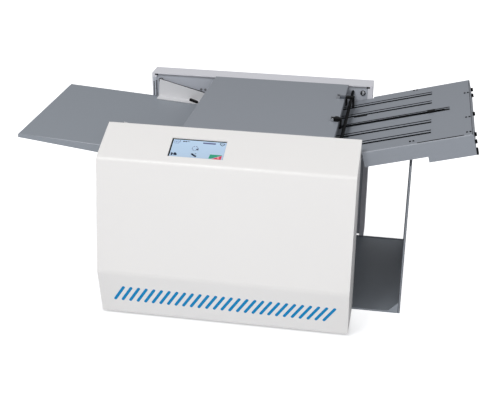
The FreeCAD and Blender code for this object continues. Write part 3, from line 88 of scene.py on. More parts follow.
def linear(channel: float) -> float:
    """Turn one sRGB channel from 0 to 255 into a linear value.

    Args:
        channel: The channel as a picture shows it.

    Returns:
        The linear value from 0 to 1.
    """
    share = channel / BRIGHTEST
    if share <= SRGB_KNEE:
        return share / SRGB_SLOPE
    return ((share + SRGB_LIFT) / (1.0 + SRGB_LIFT)) ** SRGB_POWER


def rgba(colour: Colour) -> tuple[float, float, float, float]:
    """Turn an sRGB colour from 0 to 255 into a linear shader colour.

    Args:
        colour: Red, green and blue as a picture shows them.

    Returns:
        The linear colour with full alpha.
    """
    return (linear(colour[0]), linear(colour[1]), linear(colour[2]), 1.0)


def scaled(colour: Colour, times: float, plus: float = 0.0) -> tuple[float, ...]:
    """Make a colour brighter or darker.

    Args:
        colour: The sRGB colour from 0 to 255.
        times: How many times brighter it gets.
        plus: How much white is added.

    Returns:
        The linear colour, no brighter than white, with full alpha.
    """
    return tuple(min(1.0, channel * times + plus) for channel in rgba(colour)[:3]) + (1.0,)


def at(across: float, back: float, up: float) -> Vector:
    """Turn machine millimetres into frame metres.

    Args:
        across: From the housings' left end.
        back: From the control panel's front fold.
        up: From the table.

    Returns:
        The point in the frame.
    """
    return Vector(((across - MIDDLE_ACROSS) * MILLI, (back - MIDDLE_BACK) * MILLI, up * MILLI))


def add_node(tree: Tree, kind: str, values: dict | None = None) -> bpy.types.Node:
    """Add a shader node.

    Args:
        tree: Where it goes.
        kind: The node's type, without the word ShaderNode.
        values: Its inputs' values.

    Returns:
        The node.
    """
    node = tree.nodes.new(f"ShaderNode{kind}")
    for label, value in (values or {}).items():
        node.inputs[label].default_value = value
    return node


def add_math(tree: Tree, kind: str, *terms: object, clamp: bool = False) -> Socket:
    """Add a Math node.

    Args:
        tree: Where it goes.
        kind: The node's operation.
        terms: Its inputs, each a socket or a number.
        clamp: Whether the result stays between 0 and 1.

    Returns:
        The node's output.
    """
    node = add_node(tree, "Math")
    node.operation = kind
    node.use_clamp = clamp
    for place, value in enumerate(terms):
        if isinstance(value, (int, float)):
            node.inputs[place].default_value = value
        else:
            tree.links.new(value, node.inputs[place])
    return node.outputs[0]


def add_material(name: str, values: dict) -> tuple[bpy.types.Material, Tree, bpy.types.Node]:
    """Make a material.

    Args:
        name: Its name.
        values: Its shader's inputs and their values.

    Returns:
        The material, its node tree and its shader.
    """
    material = bpy.data.materials.new(name)
    material.use_nodes = True
    shader = material.node_tree.nodes["Principled BSDF"]
    for label, value in values.items():
        shader.inputs[label].default_value = value
    return material, material.node_tree, shader


def place_group(tree: Tree, group: Tree, values: dict) -> bpy.types.Node:
    """Put a shared group in a material.

    Args:
        tree: The material's node tree.
        group: The group.
        values: Its inputs' values.

    Returns:
        The group node.
    """
    node = add_node(tree, "Group")
    node.node_tree = group
    for label, value in values.items():
        node.inputs[label].default_value = value
    return node


def new_group(name: str, inputs: dict[str, float], outputs: dict[str, str]) -> Tree:
    """Make an empty group with its sockets.

    Args:
        name: The group's name.
        inputs: Input names and their defaults.
        outputs: Output names and the last words of their socket types.

    Returns:
        The group with one input node and one output node.
    """
    group = bpy.data.node_groups.new(name, "ShaderNodeTree")
    sockets = group.interface
    for label, value in inputs.items():
        socket = sockets.new_socket(label, in_out="INPUT", socket_type="NodeSocketFloat")
        socket.default_value = value
    for label, kind in outputs.items():
        sockets.new_socket(label, in_out="OUTPUT", socket_type=f"NodeSocket{kind}")
    group.nodes.new("NodeGroupInput").name = "in"
    group.nodes.new("NodeGroupOutput").name = "out"
    return group


def add_noise(group: Tree, values: dict, vector: Socket | None = None) -> bpy.types.Node:
    """Add a noise in the piece's own coordinates.

    Args:
        group: Where it goes.
        values: Its inputs' values.
        vector: Coordinates to use in place of the piece's own.

    Returns:
        The noise node.
    """
    if vector is None:
        vector = add_node(group, "TexCoord").outputs["Object"]
    noise = add_node(group, "TexNoise", values)
    group.links.new(vector, noise.inputs["Vector"])
    return noise


def give_grain(group: Tree, height: Socket, drifting: Socket, glossing: Socket) -> Tree:
    """Join a grain's results to its group's outputs.

    Args:
        group: The group.
        height: The bump's height.
        drifting: What the shade follows, about zero.
        glossing: What the gloss follows, about zero.

    Returns:
        The group.
    """
    given, out = group.nodes["in"].outputs, group.nodes["out"].inputs
    drift = add_math(group, "MULTIPLY", drifting, given["Drift"])
    group.links.new(height, out["Height"])
    group.links.new(add_math(group, "ADD", drift, 1.0), out["Shade"])
    shift = add_math(group, "MULTIPLY", glossing, given["Spread"])
    group.links.new(shift, out["Gloss Shift"])
    return group


@cache
def surface_grain() -> Tree:
    """Build fine even grain with a slow drift of shade, for paint, plastic and rubber.

    Returns:
        The group, built the first time.
    """
    inputs = {"Scale": 900.0, "Drift": 0.02, "Spread": 0.05}
    group = new_group("surface_grain", inputs, GRAIN_OUTPUTS)
    fine = add_noise(group, {"Detail": 2.0, "Roughness": 0.55})
    group.links.new(group.nodes["in"].outputs["Scale"], fine.inputs["Scale"])
    slow = add_noise(group, {"Scale": 9.0, "Detail": 3.0})
    height = fine.outputs["Fac"]
    centred = add_math(group, "SUBTRACT", slow.outputs["Fac"], 0.5)
    both = add_math(group, "ADD", height, slow.outputs["Fac"])
    return give_grain(group, height, centred, add_math(group, "SUBTRACT", both, 1.0))


@cache
def brush_lines() -> Tree:
    """Build long fine scratches along Y, for turned and brushed metal.

    Returns:
        The group, built the first time.
    """
    inputs = {"Scale": 60.0, "Drift": 0.08, "Spread": 0.12}
    group = new_group("brush_lines", inputs, GRAIN_OUTPUTS)
    coords = add_node(group, "TexCoord").outputs["Object"]
    mapping = add_node(group, "Mapping", {"Scale": (40.0, 1.0, 40.0)})
    group.links.new(coords, mapping.inputs["Vector"])
    lines = add_noise(group, {"Detail": 4.0}, mapping.outputs["Vector"])
    group.links.new(group.nodes["in"].outputs["Scale"], lines.inputs["Scale"])
    centred = add_math(group, "SUBTRACT", lines.outputs["Fac"], 0.5)
    return give_grain(group, lines.outputs["Fac"], centred, centred)


@cache
def soft_dust() -> Tree:
    """Build a thin broken layer of dust that lies on faces that look up.

    Returns:
        The group, built the first time.
    """
    group = new_group("soft_dust", {"Amount": 0.1}, {"Mask": "Float"})
    split = add_node(group, "SeparateXYZ")
    normal = add_node(group, "NewGeometry").outputs["Normal"]
    group.links.new(normal, split.inputs["Vector"])
    specks = add_noise(group, {"Scale": 140.0, "Detail": 5.0})
    upward = add_math(group, "MAXIMUM", split.outputs["Z"], 0.0)
    patch = add_math(group, "MULTIPLY", upward, specks.outputs["Fac"])
    mask = add_math(group, "MULTIPLY", patch, group.nodes["in"].outputs["Amount"])
    group.links.new(mask, group.nodes["out"].inputs["Mask"])
    return group


@cache
def edge_round() -> Tree:
    """Build a small rounding of sharp edges, with a mask of where it is.

    Returns:
        The group, built the first time.
    """
    outputs = {"Normal": "Vector", "Edge": "Float"}
    group = new_group("edge_round", {"Radius": 0.0006}, outputs)
    links, out = group.links, group.nodes["out"].inputs
    bevel = add_node(group, "Bevel")
    bevel.samples = BEVEL_SAMPLES
    links.new(group.nodes["in"].outputs["Radius"], bevel.inputs["Radius"])
    dot = add_node(group, "VectorMath")
    dot.operation = "DOT_PRODUCT"
    links.new(bevel.outputs["Normal"], dot.inputs[0])
    links.new(add_node(group, "NewGeometry").outputs["Normal"], dot.inputs[1])
    bend = add_math(group, "SUBTRACT", 1.0, dot.outputs["Value"])
    edge = add_math(group, "MULTIPLY", bend, EDGE_GAIN)
    links.new(bevel.outputs["Normal"], out["Normal"])
    links.new(add_math(group, "MINIMUM", edge, 1.0), out["Edge"])
    return group


@dataclass(frozen=True)
class Finish:
    """One finish of the machine.

    Colours are sRGB from 0 to 255, scale is the grain's, edge_mm is the rounding of its edges
    and wear_and_shine is how much paler its edges are: partly worn paint, partly a painted
    highlight where edges and bends catch the light.
    """

    name: str
    colour: Colour
    roughness: float
    scale: float = 900.0
    drift: float = 0.02
    brushed: bool = False
    metallic: float = 0.0
    grain_height: float = 0.00002
    bump_strength: float = 0.6
    spread: float = 0.06
    coat: float = 0.0
    coat_roughness: float = 0.12
    dust: float = 0.0
    edge_mm: float = 0.5
    wear_and_shine: float = 0.0
    specular: float = 0.5

    def build(self) -> bpy.types.Material:
        """Make the finish's material.

        Returns:
            The material with its node tree.
        """
        material, tree, shader = add_material(self.name, {
            "Metallic": self.metallic,
            "Coat Weight": self.coat,
            "Coat Roughness": self.coat_roughness,
            "Specular IOR Level": self.specular,
        })
        grain = brush_lines() if self.brushed else surface_grain()
        amounts = {"Scale": self.scale, "Drift": self.drift, "Spread": self.spread}
        texture = place_group(tree, grain, amounts)
        rounding = place_group(tree, edge_round(), {"Radius": self.edge_mm * MILLI})
        shaded = add_node(tree, "VectorMath")
        shaded.operation = "SCALE"
        shaded.inputs[0].default_value = rgba(self.colour)[:3]
        tree.links.new(texture.outputs["Shade"], shaded.inputs["Scale"])
        colour = shaded.outputs["Vector"]
        # Paler edges: partly worn paint, partly a painted highlight on edges and bends.
        if self.wear_and_shine:
            colour = self._mixed(tree, colour, rounding.outputs["Edge"], self.wear_and_shine, WEAR_AND_SHINE_LIFT)
        if self.dust:
            dust = place_group(tree, soft_dust(), {"Amount": self.dust})
            colour = self._mixed(tree, colour, dust.outputs["Mask"], 1.0, DUST_LIFT)
        tree.links.new(colour, shader.inputs["Base Color"])
        shift = texture.outputs["Gloss Shift"]
        rough = add_math(tree, "ADD", shift, self.roughness, clamp=True)
        tree.links.new(rough, shader.inputs["Roughness"])
        heights = {"Strength": self.bump_strength, "Distance": self.grain_height}
        bump = add_node(tree, "Bump", heights)
        tree.links.new(texture.outputs["Height"], bump.inputs["Height"])
        tree.links.new(rounding.outputs["Normal"], bump.inputs["Normal"])
        tree.links.new(bump.outputs["Normal"], shader.inputs["Normal"])
        return material

    def _mixed(
        self, tree: Tree, colour: Socket, mask: Socket, amount: float, lift: float
    ) -> Socket:
        """Lighten a colour where a mask is high.

        Args:
            tree: The material's node tree.
            colour: The colour so far.
            mask: Where to lighten it.
            amount: How much of the mask counts.
            lift: How many times brighter the lightened colour is, plus a little white.

        Returns:
            The mixed colour's socket.
        """
        mix = add_node(tree, "Mix")
        mix.data_type = "RGBA"
        mix.inputs["B"].default_value = scaled(self.colour, lift, WHITENING)
        factor = add_math(tree, "MULTIPLY", mask, amount, clamp=True)
        tree.links.new(factor, mix.inputs["Factor"])
        tree.links.new(colour, mix.inputs["A"])
        return mix.outputs["Result"]


@dataclass(frozen=True)
class ClearPlastic:
    """The see-through plastic of the rear catch's bar."""

    name: str = "clear_plastic"
    colour: Colour = (92, 97, 107)
    roughness: float = 0.34
    scale: float = 300.0
    alpha: float = 0.7
    refraction: float = 1.49

    def build(self) -> bpy.types.Material:
        """Make the plastic's material.

        Returns:
            The material with its node tree.
        """
        values = {"Base Color": rgba(self.colour), "Alpha": self.alpha, "IOR": self.refraction}
        material, tree, shader = add_material(self.name, values)
        grain = place_group(tree, surface_grain(), {"Scale": self.scale})
        rough = add_math(tree, "ADD", grain.outputs["Gloss Shift"], self.roughness)
        tree.links.new(rough, shader.inputs["Roughness"])
        return material


@dataclass(frozen=True)
class ScreenLight:
    """A lit area of the display: a colour that glows a little and drifts from top to bottom."""

    name: str
    colour: Colour
    glow: float = 0.25
    roughness: float = 0.22
    fade: float = 0.06

    def build(self) -> bpy.types.Material:
        """Make the lit area's material.

        Returns:
            The material with its node tree.
        """
        values = {"Roughness": self.roughness, "Emission Strength": self.glow}
        material, tree, shader = add_material(self.name, values)
        coords = add_node(tree, "TexCoord").outputs["Generated"]
        split = add_node(tree, "SeparateXYZ")
        tree.links.new(coords, split.inputs["Vector"])
        ramp = add_node(tree, "ValToRGB")
        ends = ramp.color_ramp.elements
        ends[0].color = scaled(self.colour, 1.0 - self.fade)
        ends[1].color = scaled(self.colour, 1.0 + self.fade)
        tree.links.new(split.outputs["Y"], ramp.inputs["Fac"])
        for label in ("Base Color", "Emission Color"):
            tree.links.new(ramp.outputs["Color"], shader.inputs[label])
        return material


class Slot(Enum):
    """The record's material slots, each with the finish that it shows."""

    COVER = Finish("cover_paint", (240, 238, 236), 0.42, 700.0, 0.012, coat=0.12, dust=0.03)
    REAR = Finish("rear_paint", (230, 230, 236), 0.45, 700.0, 0.015, coat=0.1, dust=0.05)
    # Lighter than the frame's own grey: painted light that makes up for the shade under the rear
    # cover.
    FRAME = Finish("frame_steel", (192, 196, 205), 0.5, 800.0, 0.04, wear_and_shine=0.35, dust=0.1)
    SHEET = Finish("sheet_grey", (146, 151, 159), 0.44, 850.0, 0.03, wear_and_shine=0.55, dust=0.05)
    # The tray's strong pale edges are mostly a painted highlight along its front bend.
    TRAY = Finish("tray_grey", (147, 153, 161), 0.46, 850.0, 0.03, wear_and_shine=0.7, dust=0.06, edge_mm=1.4)
    STEEL = Finish(
        "bright_steel", (176, 178, 182), 0.28, 60.0, 0.1, True, metallic=1.0, edge_mm=0.25
    )
    BLACK = Finish("black_plastic", (10, 10, 12), 0.55, 1500.0, 0.08, specular=0.15)
    # Near black: the bolts' own dark finish, and on the tie bars and keeper bar painted shade that
    # sinks them into the shadow under the lid.
    BLACK_STEEL_AND_SHADE = Finish("black_steel", (8, 8, 10), 0.6, 1000.0, 0.06, edge_mm=0.3, specular=0.1)
    RUBBER = Finish("roller_rubber", (40, 41, 44), 0.62, 1300.0, 0.08, spread=0.1)
    TYRE = Finish("tyre_rubber", (62, 62, 64), 0.72, 1100.0, 0.1, spread=0.1)
    FOOT = Finish("foot_rubber", (30, 30, 31), 0.75, 1100.0, 0.08)
    BELT = Finish("belt_rubber", (34, 34, 36), 0.7, 1800.0, 0.08)
    GEAR = Finish("gear_plastic", (222, 219, 206), 0.4, 1200.0, edge_mm=0.2)
    GUIDE = Finish("guide_white", (226, 226, 228), 0.4, wear_and_shine=0.2, dust=0.04)
    BOARD = Finish("board_green", (34, 92, 58), 0.35, 1600.0, coat=0.4, edge_mm=0.2)
    SUPPLY = Finish("supply_metal", (186, 188, 190), 0.38, 40.0, 0.12, True, metallic=1.0)
    MOTOR = Finish("motor_metal", (52, 52, 54), 0.4, 1000.0, 0.05, metallic=0.4)
    ROCKER = Finish("rocker_plastic", (24, 24, 26), 0.22, 1400.0, coat=0.3, edge_mm=0.6)
    PAD = Finish("pad_rubber", (72, 66, 58), 0.8, 1000.0, 0.12)
    CLEAR = ClearPlastic()
    SCREEN = ScreenLight("screen_glass", (182, 205, 228), glow=0.1, roughness=0.12)


class Extra(Enum):
    """Finishes of small pieces that the record's slots don't name."""

    STRIPE = Finish("stripe_blue", (6, 136, 196), 0.4, 700.0, edge_mm=0.05, specular=0.12)
    # Painted shadow: near-black pieces laid where shade falls.
    SHADOW = Finish("painted_shadow_dark", (8, 8, 10), 0.8, edge_mm=0.05, specular=0.08)
    # Painted highlight: a pale strip where the frame's hem catches the light.
    HEM_SHINE = Finish("hem_shine_pale", (186, 188, 194), 0.4, edge_mm=0.1)
    # Painted shade: dark lines along edges that lie in shadow.
    SHADE_LINE = Finish("edge_shade", (66, 68, 74), 0.6, edge_mm=0.1)
    # Painted highlight: pale lines along bends that catch the light.
    BEND_HIGHLIGHT = Finish("bend_highlight_pale", (204, 208, 216), 0.35, edge_mm=0.1)
    INK = ScreenLight("screen_ink", (28, 36, 58), glow=0.04)
    FAINT = ScreenLight("screen_faint", (146, 166, 198), glow=0.08)
    BAR = ScreenLight("screen_bar", (92, 98, 138), glow=0.06)
    GO = ScreenLight("screen_go", (44, 150, 118), glow=0.12)
    HALT = ScreenLight("screen_halt", (206, 62, 92), glow=0.12)
    PALE = ScreenLight("screen_pale", (232, 140, 140), glow=0.12)


class Wardrobe:
    """Holds each finish's material once and dresses objects with it."""

    def __init__(self) -> None:
        """Start with no material built."""
        self._materials: dict[str, bpy.types.Material] = {}

    def dress(self, piece: bpy.types.Object, finish: Slot | Extra) -> None:
        """Give a piece one finish, building it the first time.

        Args:
            piece: The object.
            finish: The slot or extra finish.
        """
        name = finish.value.name
        if name not in self._materials:
            self._materials[name] = finish.value.build()
        material = self._materials[name]
        if not piece.material_slots:
            piece.data.materials.append(material)
        for slot in piece.material_slots:
            slot.material = material


WARDROBE = Wardrobe()


class MeshMaker:
    """Collects faces and makes one object of them."""

    def __init__(self, name: str) -> None:
        """Start an empty mesh.

        Args:
            name: The object's name.
        """
        self.name = name
        self.mesh = bmesh.new()

    def prism(self, outline: list[Vector], offset: Vector) -> None:
        """Add a solid between an outline and its copy moved by offset.

        Args:
            outline: Points in metres, in order.
            offset: How far and where the copy lies.
        """
        low = [self.mesh.verts.new(point) for point in outline]
        high = [self.mesh.verts.new(point + offset) for point in outline]
        self.mesh.faces.new(low[::-1])
        self.mesh.faces.new(high)
        for index, first in enumerate(low):
            after = (index + 1) % len(low)
            self.mesh.faces.new((first, low[after], high[after], high[index]))

    def upright(self, corners: Outline, near: float, thick: float) -> None:
        """Add a plate whose outline faces the front.

        Args:
            corners: Its outline, as millimetres across and up.
            near: How far back its front face stands.
            thick: Its thickness.
        """
        outline = [at(across, near, up) for across, up in corners]
        self.prism(outline, Vector((0.0, thick * MILLI, 0.0)))

    def turned(self, foot: Vector, axis: Vector, outline: Outline) -> None:
        """Add a solid of revolution.

        Args:
            foot: Where the axis starts.
            axis: The axis, of unit length.
            outline: Pairs of radius and distance along the axis, in metres.
        """
        across = axis.orthogonal().normalized()
        other = axis.cross(across)
        turns = [2 * math.pi * step / TURNED_SIDES for step in range(TURNED_SIDES)]
        spokes = [across * math.cos(turn) + other * math.sin(turn) for turn in turns]
        rings = []
        for radius, along in outline:
            centre = foot + axis * along
            places = [centre] if radius < POINT_RADIUS else [centre + s * radius for s in spokes]
            rings.append([self.mesh.verts.new(place) for place in places])
        for low, high in zip(rings, rings[1:]):
            for step in range(TURNED_SIDES):
                after = (step + 1) % TURNED_SIDES
                corners = [low[step % len(low)], low[after % len(low)]]
                corners += [high[after % len(high)], high[step % len(high)]]
                unique = list(dict.fromkeys(corners))
                if len(unique) > 2:
                    self.mesh.faces.new(unique)

    def finish(
        self, body: str, finish: Slot | Extra, slot: str, smooth: bool = False
    ) -> bpy.types.Object:
        """Make the object, dress it and set it on a body.

        Args:
            body: The CAD body that it rides on.
            finish: Its finish.
            slot: The record's material slot. Not used.
            smooth: Whether its faces are shaded smooth.

        Returns:
            The object.
        """
        bmesh.ops.recalc_face_normals(self.mesh, faces=self.mesh.faces)
        data = bpy.data.meshes.new(self.name)
        self.mesh.to_mesh(data)
        self.mesh.free()
        piece = bpy.data.objects.new(self.name, data)
        bpy.context.scene.collection.objects.link(piece)
        if smooth:
            data.shade_smooth()
        WARDROBE.dress(piece, finish)
        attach(piece, body)
        return piece


@dataclass
class Slope:
    """A flat face seen in the machine: a corner, two unit directions and the way out of it."""

    corner: Point
    along: Point
    across: Point

    def point(self, along: float, across: float, proud: float = 0.0) -> Vector:
        """Give a point of the face.

        Args:
            along: Millimetres in the first direction.
            across: Millimetres in the second direction.
            proud: Millimetres out of the face.

        Returns:
            The point in the frame, in metres.
        """
        first, second = Vector(self.along), Vector(self.across)
        place = Vector(self.corner) + first * along + second * across + self.out * proud
        return at(*place)

    @property
    def out(self) -> Vector:
        """Give the unit direction out of the face.

        Returns:
            The direction.
        """
        return Vector(self.along).cross(Vector(self.across)).normalized()

    def patch(self, maker: MeshMaker, corners: Outline, low: float, thick: float) -> None:
        """Add a thin flat plate on the face.

        Args:
            maker: Where the plate goes.
            corners: Its outline in the face's millimetres.
            low: How far its underside stands out of the face.
            thick: Its thickness.
        """
        outline = [self.point(first, second, low) for first, second in corners]
        maker.prism(outline, self.out * thick * MILLI)


def rectangle(left: float, right: float, low: float, high: float) -> Outline:
    """Give a rectangle's outline.

    Args:
        left: Its left edge.
        right: Its right edge.
        low: Its lower edge.
        high: Its upper edge.

    Returns:
        Its corners, in order.
    """
    return [(left, low), (right, low), (right, high), (left, high)]


def around(centre: Pair, radius: float, angle: float) -> Pair:
    """Give a point on a circle.

    Args:
        centre: The circle's centre.
        radius: Its radius.
        angle: The point's angle in radians.

    Returns:
        The point.
    """
    return (centre[0] + radius * math.cos(angle), centre[1] + radius * math.sin(angle))


def capsule(start: Pair, end: Pair, width: float) -> Outline:
    """Give the outline of a bar with round ends.

    Args:
        start: One end's centre.
        end: The other end's centre.
        width: The bar's width.

    Returns:
        The outline's points, in order.
    """
    angle = math.atan2(end[1] - start[1], end[0] - start[0])
    return [
        around(centre, width / 2, turn + math.pi * step / (CAP_STEPS - 1))
        for centre, turn in ((end, angle - math.pi / 2), (start, angle + math.pi / 2))
        for step in range(CAP_STEPS)
    ]


def ring_of(centre: Pair, radius: float) -> Outline:
    """Give the outline of a circle.

    Args:
        centre: Its centre.
        radius: Its radius.

    Returns:
        The outline's points, in order.
    """
    turns = (2 * math.pi * step / RING_STEPS for step in range(RING_STEPS))
    return [around(centre, radius, turn) for turn in turns]


@dataclass
class FrontStripes:
    """The row of slanting stripes on the front cover's lower face."""

    count: int = 28
    first_low: Pair = (22.6, 24.5)
    first_high: Pair = (40.3, 53.0)
    last_low: Pair = (347.1, 22.4)
    last_high: Pair = (365.6, 50.2)
    width: float = 4.6
    lift: float = 0.02
    thick: float = 0.12
    toe: Pair = (-10.0, 4.0)
    bulge: Pair = (-26.0, 81.0)

    def build(self) -> None:
        """Make all the stripes as one piece."""
        rise = Vector((0.0, self.bulge[0] - self.toe[0], self.bulge[1] - self.toe[1])).normalized()
        face = Slope((0.0, self.toe[0], self.toe[1]), (1.0, 0.0, 0.0), tuple(rise))
        maker = MeshMaker("front_stripes")
        for number in range(self.count):
            share = number / (self.count - 1)
            low = tuple(a + (b - a) * share for a, b in zip(self.first_low, self.last_low))
            high = tuple(a + (b - a) * share for a, b in zip(self.first_high, self.last_high))
            run = Vector(high) - Vector(low)
            cap = run.normalized() * self.width / 2
            start = (low[0] + cap[0], low[1] + cap[1])
            end = (high[0] - cap[0], high[1] - cap[1])
            face.patch(maker, capsule(start, end, self.width), self.lift, self.thick)
        maker.finish("chassis", Extra.STRIPE, "cover_paint")


@dataclass
class DisplayPage:
    """What the lit display shows: plain shapes, two buttons and no lettering."""

    left: float = 105.0
    length: float = 83.0
    low: float = 15.0
    width: float = 40.0
    depth: float = 2.0
    fold_height: float = 258.0
    crown_height: float = 288.0
    panel_depth: float = 72.0
    layer: float = 0.05
    layer_share: float = 0.8
    top_edge: float = 2.5
    left_edge: float = 1.9
    frame: float = 0.8
    dashes: int = 6
    dash: float = 0.8
    dash_half_turn: float = 0.3

    def face(self) -> Slope:
        """Give the glass, with its lower left corner as the origin.

        Returns:
            The face.
        """
        rise = self.crown_height - self.fold_height
        run = math.hypot(rise, self.panel_depth)
        along = Vector((0.0, self.panel_depth / run, rise / run))
        out = Vector((1.0, 0.0, 0.0)).cross(along).normalized()
        corner = Vector((self.left, 0.0, self.fold_height)) + along * self.low - out * self.depth
        return Slope(tuple(corner), (1.0, 0.0, 0.0), tuple(along))

    def _plate(self, name: str, finish: Extra, outlines: list[Outline], level: int = 1) -> None:
        """Add shapes of one colour as one piece on the glass.

        Args:
            name: The piece's name.
            finish: Its colour.
            outlines: Its shapes, in the glass's millimetres.
            level: How many layers it stands out.
        """
        maker = MeshMaker(name)
        face = self.face()
        for outline in outlines:
            face.patch(maker, outline, self.layer * level, self.layer * self.layer_share)
        maker.finish("chassis", finish, "screen_glass")

    @staticmethod
    def _box(left: float, low: float, length: float, height: float) -> Outline:
        """Give a rectangle's outline.

        Args:
            left: Its left edge.
            low: Its lower edge.
            length: Its length.
            height: Its height.

        Returns:
            Its corners.
        """
        return rectangle(left, left + length, low, low + height)

    def build(self) -> None:
        """Make the page's pieces, whose shapes are drawn in the glass's millimetres."""
        box, inner = self._box, self.width - self.top_edge
        # The dark top and left bands are painted shadow that the window's edge casts on the glass.
        self._plate("screen_edge_shadow", Extra.SHADOW, [
            box(0.0, inner, self.length, self.top_edge),
            box(0.0, 0.0, self.left_edge, inner),
        ], 2)
        self._plate("screen_shelf", Extra.FAINT, [
            box(self.left_edge, 0.0, self.length - self.left_edge, self.frame),
            box(self.length - self.frame, self.frame, self.frame, inner - self.frame),
            box(3.6, 35.6, 6.4, 0.9),
            box(4.6, 29.0, 6.4, 0.9),
            box(3.4, 29.9, 1.0, 5.7),
            box(9.6, 29.9, 1.0, 5.7),
            ring_of((7.0, 32.7), 1.6),
        ])
        self._plate("screen_bar", Extra.BAR, [
            box(47.3, 32.2, 19.2, 2.7),
            capsule((11.7, 31.9), (12.6, 36.0), 1.0),
            *self._arc((37.4, 21.4), 4.3),
        ])
        pointer = [(72.8, 35.3), (79.8, 34.6), (80.0, 33.2), (76.8, 30.4), (73.4, 33.0)]
        self._plate("screen_icons", Extra.INK, [
            box(16.7, 33.2, 2.6, 2.0), box(20.0, 33.5, 2.6, 1.7),
            box(23.3, 34.0, 1.5, 1.2), box(25.6, 34.2, 1.4, 0.8),
            box(3.7, 4.2, 2.2, 5.6), box(5.9, 6.0, 2.2, 1.6),
            capsule((9.4, 8.6), (11.2, 6.2), 3.4), box(8.2, 4.4, 1.6, 3.2),
            capsule((35.2, 9.0), (41.0, 5.0), 3.0), box(33.6, 8.4, 2.6, 2.2),
            capsule((39.2, 10.2), (41.0, 10.8), 0.8),
            capsule((39.6, 20.2), (42.4, 18.2), 1.1), capsule((42.4, 18.4), (42.2, 21.4), 0.8),
            *(capsule(a, b, 0.9) for a, b in zip(pointer, pointer[1:] + pointer[:1])),
        ])
        self._plate("button_go", Extra.GO, [
            [(60.9, 2.6), (64.6, 2.8), (79.9, 10.6), (79.6, 11.2), (62.0, 11.2)],
        ])
        self._plate("button_halt", Extra.HALT, [[(64.8, 1.7), (79.6, 1.7), (79.9, 10.2)]])
        self._plate("button_dot", Extra.PALE, [ring_of((74.9, 5.2), 2.0)], 2)

    def _arc(self, centre: Pair, radius: float) -> list[Outline]:
        """Give the dashes of a broken circle.

        Args:
            centre: The circle's centre.
            radius: Its radius.

        Returns:
            The dashes' outlines.
        """
        half = self.dash_half_turn
        turns = [2 * math.pi * number / self.dashes for number in range(self.dashes)]
        return [
            capsule(*(around(centre, radius, turn + bend) for bend in (-half, half)), self.dash)
            for turn in turns
        ]


@dataclass
class ScrewHeads:
    """Domed bright screw heads, each ringed with painted shade, set on the rear side frame.

    Each head is given as across, up and radius. The shade ring and the dome are shares of the
    radius.
    """

    face: float = 326.0
    large: tuple[Point, ...] = ((369.0, 273.9, 4.0), (16.0, 273.9, 4.0))
    small: tuple[Point, ...] = ((87.0, 261.3, 1.7), (94.2, 261.0, 1.7), (372.4, 258.3, 1.9))
    large_stand: float = 1.9
    shade_ring: float = 1.12
    shade_ring_thick: float = 0.3
    sunk: float = 0.2
    foot: float = 0.86
    dome: tuple[Pair, ...] = ((0.8, 0.22), (0.5, 0.36), (0.3, 0.38), (0.22, 0.2), (0.0, 0.2))

    def build(self) -> None:
        """Make the heads and the painted shade rings around them."""
        # Each head sits in a ring of painted shade.
        shade_rings = MeshMaker("screw_shade_rings")
        heads = MeshMaker("screw_heads")
        inward = Vector((0.0, -1.0, 0.0))
        for screw in self.large + self.small:
            across, up, radius = screw
            centre = at(across, self.face, up)
            deep = (self.large_stand if screw in self.large else 0.0) * MILLI
            wide = radius * MILLI
            shade_ring, top = wide * self.shade_ring, deep + self.shade_ring_thick * MILLI
            shade_rings.turned(centre, inward, [(0.0, deep), (shade_ring, deep), (shade_ring, top), (0.0, top)])
            low = deep + self.sunk * MILLI
            dome = [(wide * share, deep + wide * rise) for share, rise in self.dome]
            heads.turned(centre, inward, [(0.0, low), (wide * self.foot, low), *dome])
        shade_rings.finish("chassis", Extra.SHADOW, "frame_steel", smooth=True)
        heads.finish("chassis", Slot.STEEL, "bright_steel", smooth=True)


